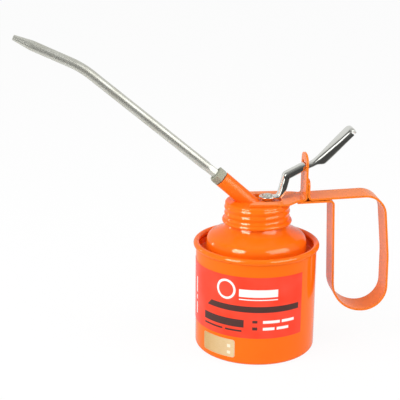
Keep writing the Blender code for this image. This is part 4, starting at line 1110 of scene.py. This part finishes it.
class OILCAN_OT_lever(bpy.types.Operator):
    """Makes the pressed lever: its channel stem and thumb pad, and the dished foot on the rod"""

    bl_idname = "oil_can.lever"
    bl_label = "Thumb lever"

    def execute(self, context):
        centre = Vector((BALL_CENTRE.x, BALL_CENTRE.z))
        corners = [
            (centre.x + x, centre.y + z, radius) for x, z, radius in (*LEVER_START, *LEVER_KNEES)
        ]
        corners.append((corners[-1][0] + 0.0030, corners[-1][1] - 0.0044, 0))
        path = spaced(rounded(corners, 8), 0.0010)
        lengths = travelled(path)
        total = lengths[-1]
        elbow, saddle, neck = (
            nearest(path, lengths, centre + Vector((x, z))) for x, z, _ in LEVER_KNEES[:3]
        )
        width_keys = [
            (neck, STEM_WIDTH), (total - PAD_ROUNDING, PAD_WIDTH),
            (total - 0.45 * PAD_ROUNDING, 0.88 * PAD_WIDTH), (total, 0.56 * PAD_WIDTH),
        ]
        thin = 1.25 * LEVER_SHEET
        depth_keys = [
            (0.0, thin), *FOOT_DEPTHS, (elbow, STEM_DEPTH), (saddle, 0.0044), (neck, 0.0028),
            (neck + 0.0052, 0.0061), (total - 0.0062, 0.0046), (total, thin),
        ]
        corner_keys = [
            (elbow - 0.0030, WIDE_CORNER), (elbow + 0.0030, TIGHT_CORNER), (neck, TIGHT_CORNER),
            (neck + 0.0060, WIDE_CORNER),
        ]
        sections = [
            lever_section(
                here, side.normalized(), between(along, width_keys), between(along, depth_keys),
                between(along, corner_keys),
            )
            for here, side, along in zip(path, normals(path), lengths)
        ]
        shape = bmesh.new()
        for ring in drawn(shape, sections):
            bmesh.ops.contextual_create(shape, geom=ring)
        bmesh.ops.recalc_face_normals(shape, faces=shape.faces)
        stem = mesh_of("stem", shape)
        cup = math.degrees(math.acos(FOOT_LIP_RADIUS / FOOT_CUP_RADIUS))
        middle = Vector((0.0, centre.y))
        rim = Vector((FOOT_RING_RADIUS - FOOT_EDGE, centre.y - 0.0002))
        profile = arc(middle, FOOT_CUP_RADIUS, -cup, -26, 8)
        profile += [Vector((radius, centre.y - depth)) for radius, depth in FOOT_DISH]
        profile += arc(rim, FOOT_EDGE, 110, -85, 14)
        profile += [Vector((radius, centre.y - depth)) for radius, depth in FOOT_UNDER]
        profile += arc(middle, FOOT_CUP_RADIUS + LEVER_SHEET, -38, -cup, 5)
        foot = turned(profile, 64, axis_x=PUMP_X)
        bmesh.ops.recalc_face_normals(foot, faces=foot.faces)
        foot.from_mesh(stem)
        bpy.data.meshes.remove(stem)
        finished("thumb_lever", foot, "lever", chrome(), 40)
        return {"FINISHED"}


def chrome():
    """The lever's bright plating."""
    tint = bpy.context.scene.oil_can_finish.chrome
    return metal("lever_chrome", tint, 0.12, 0.09, 0.04, (0.2, 1.0, 0.2), ripple=130.0)


def nickel():
    """The spout's dull plating."""
    tint = bpy.context.scene.oil_can_finish.nickel
    return metal("spout_nickel", tint, 0.3, 0.24, 0.02, (0.1, 1.0, 0.1), metallic=0.75)


def nut_nickel():
    """The nut's dull, weathered plating."""
    tint = bpy.context.scene.oil_can_finish.nut
    return metal("nut_nickel", tint, 0.3, 0.55, 0.02, (0.4, 1.0, 0.4), metallic=0.5)


def steel():
    """Bare steel inside the pump."""
    return metal("pump_steel", (0.50, 0.50, 0.50), 0.3, 0.28, 0.15, (1.0, 1.0, 0.15))


def brass():
    """Turned brass."""
    return metal("turned_brass", (0.72, 0.53, 0.25), 0.3, 0.25, 0.15, (0.3, 0.3, 2.0))


class OILCAN_OT_rod(bpy.types.Operator):
    """Makes the pump rod with its riveted end, and the gland nut round it"""

    bl_idname = "oil_can.rod"
    bl_label = "Rod and gland"

    def execute(self, context):
        low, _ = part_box("pump_rod")
        root = -math.degrees(math.acos(ROD_NECK_RADIUS / BALL_RADIUS))
        neck_low = CAP_TOP - 0.0010
        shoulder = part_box("piston_seal")[0].z + SEAL_SHEET + SEAT_GAP
        profile = [
            Vector((0.0, low.z)), Vector((ROD_THREAD_RADIUS, low.z)), Vector((ROD_THREAD_RADIUS, shoulder)),
            Vector((ROD_RADIUS, shoulder)), Vector((ROD_RADIUS, neck_low - ROD_RADIUS + ROD_NECK_RADIUS)),
            Vector((ROD_NECK_RADIUS, neck_low)),
        ]
        profile += arc(Vector((0.0, BALL_CENTRE.z)), BALL_RADIUS, root, 0, 14)
        for step in range(11):
            turn = math.pi / 2 * step / 10
            lift = HEAD_BRIM + (HEAD_RISE - HEAD_BRIM) * math.sin(turn)
            profile.append(Vector((HEAD_RADIUS * math.cos(turn), BALL_CENTRE.z + lift)))
        finished("ball_ended_rod", turned(profile, 48, closed=False, axis_x=PUMP_X), "pump_rod", nickel())
        low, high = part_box("gland_nut")
        bore = ROD_RADIUS + SEAT_GAP
        ring = [(bore, high.z), (GLAND_RADIUS, high.z), (GLAND_RADIUS, low.z), (bore, low.z)]
        shape = turned(ring, 48, axis_x=PUMP_X)
        piece = finished("gland_ring", shape, "gland_nut", enamel())
        eased(piece, context.scene.oil_can_shape.small_edge)
        return {"FINISHED"}


def pipe_path():
    """The pipe's axis in the XZ plane, from inside the nut's shank to the tip."""
    start = SPOUT_FOOT + SPOUT_AXIS * PIPE_START
    knee = SPOUT_FOOT + SPOUT_AXIS * (SOCKET_LENGTH + SEAT_GAP + NUT_LENGTH + 0.5 * PIPE_RADIUS)
    reach = PIPE_BEND_RADIUS * math.tan((PIPE_RISE_ANGLE - PIPE_END_ANGLE) / 2)
    first = Vector((knee.x, knee.z))
    rise = Vector((-math.cos(PIPE_RISE_ANGLE), math.sin(PIPE_RISE_ANGLE)))
    end = Vector((-math.cos(PIPE_END_ANGLE), math.sin(PIPE_END_ANGLE)))
    bend = first + rise * (PIPE_RISE_LENGTH + reach)
    tip = bend + end * (reach + PIPE_END_LENGTH + PIPE_TIP_LENGTH)
    return rounded([
        (start.x, start.z, 0), (first.x, first.y, 2 * PIPE_RADIUS), (bend.x, bend.y, PIPE_BEND_RADIUS),
        (tip.x, tip.y, 0),
    ], 2)


class OILCAN_OT_spout(bpy.types.Operator):
    """Makes the spout's bent pipe, its nut and the socket on the cap"""

    bl_idname = "oil_can.spout"
    bl_label = "Spout"

    def execute(self, context):
        edge = context.scene.oil_can_shape.small_edge
        tube = [
            (SOCKET_BORE, SOCKET_ROOT), (SOCKET_BORE, SOCKET_LENGTH),
            (SOCKET_RADIUS - 0.0003, SOCKET_LENGTH), (SOCKET_RADIUS, SOCKET_LENGTH - 0.0003),
            (SOCKET_RADIUS, SOCKET_ROOT),
        ]
        coat = enamel("socket_enamel", 0.30, 0.11)
        root = finished("spout_root", along_spout(turned(tube, 64)), "spout_socket", coat)
        top = CAP_TOP + 0.00002
        seat = rounded([
            (0.0, top, 0), (CAP_RADIUS, top, CAP_SHOULDER), (CAP_RADIUS, top - 0.03, 0),
            (0.0, top - 0.03, 0),
        ])
        bored(root, turned(seat, 96, closed=False))
        piece = finished("union_nut", refined_copy("spout_nut"), "spout_nut", nut_nickel(), 30)
        eased(piece, edge)
        path = spaced(pipe_path(), 0.0015)
        lengths = travelled(path)
        nut_end = SPOUT_FOOT + SPOUT_AXIS * (SOCKET_LENGTH + SEAT_GAP + NUT_LENGTH)
        knee = nearest(path, lengths, Vector((nut_end.x, nut_end.z)))
        pressed = [(knee, 1.0), (knee + PIPE_FLATS_LENGTH, 1.0), (knee + PIPE_FLATS_LENGTH + 0.002, 0.0)]
        taper = lengths[-1] - PIPE_TIP_LENGTH
        outer, inner = [], []
        for here, side, along in zip(path, normals(path), lengths):
            share = max(along - taper, 0.0) / PIPE_TIP_LENGTH
            radius = PIPE_RADIUS + (PIPE_TIP_RADIUS - PIPE_RADIUS) * share
            bore = radius * (PIPE_RADIUS - PIPE_WALL) / PIPE_RADIUS
            flats = between(along, pressed)
            outer.append(pipe_section(here, side.normalized(), radius, flats))
            inner.append(pipe_section(here, side.normalized(), bore, 0.0))
        shape = bmesh.new()
        drawn(shape, outer + list(reversed(inner)) + [outer[0]])
        finished("bent_pipe", shape, "spout_pipe", nickel(), 40)
        return {"FINISHED"}


def pipe_section(here, side, radius, flats):
    """A ring of places across the pipe, pressed in to six flats by the share that flats gives."""
    places = []
    for step in range(48):
        angle = math.tau * step / 48
        from_flat = (angle + math.pi / 6) % (math.pi / 3) - math.pi / 6
        flat = min(radius, PIPE_FLATS / 2 / math.cos(from_flat))
        reach = radius + (flat - radius) * flats
        away = side * reach * math.cos(angle)
        places.append((here.x + away.x, reach * math.sin(angle), here.y + away.y))
    return places


class OILCAN_OT_pump(bpy.types.Operator):
    """Gives the pump's inner pieces their finishes, and makes a smooth copy of the return spring"""

    bl_idname = "oil_can.pump"
    bl_label = "Pump"

    def execute(self, context):
        finishes = {
            "plain_steel": steel, "brass": brass,
            "black_rubber": lambda: soft_material("gasket_rubber", (0.03, 0.03, 0.03), 0.7, 900.0),
            "seal_leather": lambda: soft_material("cup_leather", (0.30, 0.17, 0.09), 0.7, 1400.0),
        }
        for entry in frame["record"]["subparts"]:
            item = frame["nodes"][entry["node"]]
            make = finishes.get(entry["material_slot"])
            if make:
                item.data.materials.clear()
                item.data.materials.append(make())
        spring = finished("return_spring", refined_copy("pump_spring"), "pump_spring", steel(), 50)
        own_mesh(spring)
        return {"FINISHED"}


class OILCAN_OT_stage(bpy.types.Operator):
    """Makes the floor, the lamps, the sky and the camera"""

    bl_idname = "oil_can.stage"
    bl_label = "Stage"

    def execute(self, context):
        scene = context.scene
        stage = scene.oil_can_stage
        shape = bmesh.new()
        bmesh.ops.create_grid(shape, x_segments=1, y_segments=1, size=FLOOR_REACH)
        bmesh.ops.translate(shape, verts=shape.verts, vec=(0, 0, -FLOOR_GAP))
        floor = placed("floor", mesh_of("floor", shape))
        floor.data.materials.append(floor_material(stage.room))
        make_lamps(scene, stage)
        scene.world = studio_world(stage)
        scene.camera = fitted_camera()
        scene.view_settings.view_transform = "Standard"
        return {"FINISHED"}


def make_lamps(scene, stage):
    """Two lamps that gloss doesn't show, and softboxes that only gloss shows, for paint and for plating."""
    for name, azimuth, power in (("key", -62.0, stage.key_power), ("fill", 68.0, stage.fill_power)):
        broad = lamp(name, azimuth, 35.0, (0.8, 0.8), power)
        broad.visible_glossy = False
    painted = bpy.data.collections.new("painted_pieces")
    plated = bpy.data.collections.new("plated_pieces")
    for item in scene.objects:
        coats = {slot.material.name for slot in item.material_slots if slot.material}
        group = painted if coats & PAINTED_COATS else plated
        group.objects.link(item)
    plating = stage.plated_gloss
    for name, azimuth, elevation, size, gloss, tint, group in (
        ("left_paint", -50.0, 27.0, (0.48, 0.66), stage.left_gloss, WARM, painted),
        ("right_paint", 46.0, 30.0, (0.85, 0.70), stage.right_gloss, WARM, painted),
        ("strip_paint", -124.0, 8.0, (0.07, 0.35), stage.strip_gloss, WARM, painted),
        ("left_plating", -42.0, 18.0, (0.45, 0.95), plating, NEUTRAL, plated),
        ("right_plating", 46.0, 30.0, (0.85, 0.70), plating, NEUTRAL, plated),
        ("strip_plating", -124.0, 8.0, (0.07, 0.35), plating, NEUTRAL, plated),
    ):
        softbox = lamp(name, azimuth, elevation, size, gloss * math.pi * size[0] * size[1])
        softbox.data.color = tint
        softbox.visible_diffuse = False
        softbox.light_linking.receiver_collection = group


def studio_world(stage):
    """A world that is white to the camera and even in diffuse light, with a darker room seen in gloss."""
    world = bpy.data.worlds.new("studio")
    world.use_nodes = True
    tree = world.node_tree
    tree.nodes.clear()
    path = node(tree, "ShaderNodeLightPath").outputs
    seen = maths(tree, "MAXIMUM", path["Is Camera Ray"], path["Is Transmission Ray"])
    level = spread(tree, seen, 0.0, 1.0, stage.sky, 1.0)
    place = node(tree, "ShaderNodeTexCoord").outputs["Generated"]
    way = node(tree, "ShaderNodeSeparateXYZ", None, Vector=place).outputs
    front = spread(tree, way[1], -0.62, -0.30, 1.0, 0.0)
    low = spread(tree, way[2], -0.25, 0.0)
    screen = node(tree, "ShaderNodeVectorMath", {"operation": "DOT_PRODUCT"}, i0=place, i1=DARK_SCREEN)
    screened = spread(tree, screen.outputs["Value"], 0.88, 0.96)
    dark = maths(tree, "MAXIMUM", maths(tree, "MULTIPLY", front, low), screened)
    ceiling = spread(tree, way[2], 0.35, 0.80, 0.72, 0.50)
    room = spread(tree, way[2], -0.05, 0.45, stage.room, 2.6 * stage.room)
    gloss = maths(tree, "MULTIPLY", ceiling, spread(tree, dark, 0.0, 1.0, 1.0, room))
    level = mixed_value(tree, path["Is Glossy Ray"], level, gloss)
    sky = node(tree, "ShaderNodeBackground", None, Color=(1.0, 1.0, 1.0, 1.0), Strength=level)
    out = node(tree, "ShaderNodeOutputWorld")
    tree.links.new(sky.outputs[0], out.inputs["Surface"])
    return world


def fitted_camera():
    """The camera that was fitted to the can's edges."""
    data = bpy.data.cameras.new("camera")
    data.sensor_width = SENSOR_WIDTH
    data.lens = CAMERA_FOCUS * SENSOR_WIDTH / PICTURE_WIDTH
    data.clip_start, data.clip_end = 0.01, 20.0
    camera = placed("camera", data)
    turn = Matrix((CAMERA_RIGHT, CAMERA_UP, CAMERA_BACK)).transposed().to_4x4()
    camera.matrix_world = Matrix.Translation(CAMERA_PLACE) @ turn
    return camera


def floor_material(room):
    """A pale floor: to the camera white with a faint shadow, in gloss darker at the front."""
    material = bpy.data.materials.new("floor_white")
    material.use_nodes = True
    tree = material.node_tree
    tree.nodes.clear()
    path = node(tree, "ShaderNodeLightPath").outputs
    toward = node(tree, "ShaderNodeSeparateXYZ", None, Vector=object_place(tree)).outputs[1]
    shade = spread(tree, toward, -0.28, -0.04, 0.65 * room, 0.72)
    level = mixed_value(tree, path["Is Glossy Ray"], 1.0, shade)
    white = node(tree, "ShaderNodeEmission", None, Color=(1.0, 1.0, 1.0, 1.0), Strength=level)
    matt = node(tree, "ShaderNodeBsdfDiffuse", None, Color=(0.85, 0.85, 0.85, 1.0))
    white_share = maths(tree, "MULTIPLY", path["Is Camera Ray"], 0.92)
    share = maths(tree, "MAXIMUM", white_share, path["Is Glossy Ray"])
    mix = node(tree, "ShaderNodeMixShader", None, i0=share, i1=matt.outputs[0], i2=white.outputs[0])
    out = node(tree, "ShaderNodeOutputMaterial")
    tree.links.new(mix.outputs[0], out.inputs["Surface"])
    return material


def lamp(name, azimuth, elevation, size, power):
    """A rectangular lamp a metre from the can, with its azimuth from -Y towards +X."""
    target = Vector((0.0, 0.0, 0.07))
    turn, lift = math.radians(azimuth), math.radians(elevation)
    away = Vector((math.sin(turn) * math.cos(lift), -math.cos(turn) * math.cos(lift), math.sin(lift)))
    data = bpy.data.lights.new(name, "AREA")
    data.shape = "RECTANGLE"
    data.size, data.size_y = size
    data.energy = power
    item = placed(name, data)
    item.location = target + away
    item.rotation_mode = "QUATERNION"
    item.rotation_quaternion = (-away).to_track_quat("-Z", "Y")
    return item


class OILCAN_PT_panel(bpy.types.Panel):
    """Sizes, finishes and the steps that make the oil can"""

    bl_idname = "OILCAN_PT_panel"
    bl_label = "Oil can"
    bl_space_type = "VIEW_3D"
    bl_region_type = "UI"
    bl_category = "Oil Can"

    def draw(self, context):
        scene = context.scene
        for group in (scene.oil_can_shape, scene.oil_can_finish, scene.oil_can_stage):
            box = self.layout.box()
            for name in group.__annotations__:
                box.prop(group, name)
        for step in STEPS:
            self.layout.operator(step.bl_idname)


STEPS = (
    OILCAN_OT_can_wall, OILCAN_OT_shoulder, OILCAN_OT_labels, OILCAN_OT_cap, OILCAN_OT_bracket,
    OILCAN_OT_handle, OILCAN_OT_lever, OILCAN_OT_rod, OILCAN_OT_spout, OILCAN_OT_pump, OILCAN_OT_stage,
)
GROUPS = (OilCanShape, OilCanFinish, OilCanStage)


def register():
    for item in (*GROUPS, *STEPS, OILCAN_PT_panel):
        bpy.utils.register_class(item)
    bpy.types.Scene.oil_can_shape = PointerProperty(type=OilCanShape)
    bpy.types.Scene.oil_can_finish = PointerProperty(type=OilCanFinish)
    bpy.types.Scene.oil_can_stage = PointerProperty(type=OilCanStage)


def unregister():
    del bpy.types.Scene.oil_can_stage
    del bpy.types.Scene.oil_can_finish
    del bpy.types.Scene.oil_can_shape
    for item in reversed((*GROUPS, *STEPS, OILCAN_PT_panel)):
        bpy.utils.unregister_class(item)


def main():
    register()
    bpy.ops.oil_can.can_wall()
    bpy.ops.oil_can.shoulder()
    bpy.ops.oil_can.labels()
    bpy.ops.oil_can.cap()
    bpy.ops.oil_can.bracket()
    bpy.ops.oil_can.handle()
    bpy.ops.oil_can.lever()
    bpy.ops.oil_can.rod()
    bpy.ops.oil_can.spout()
    bpy.ops.oil_can.pump()
    bpy.ops.oil_can.stage()


if __name__ == "__main__":
    main()
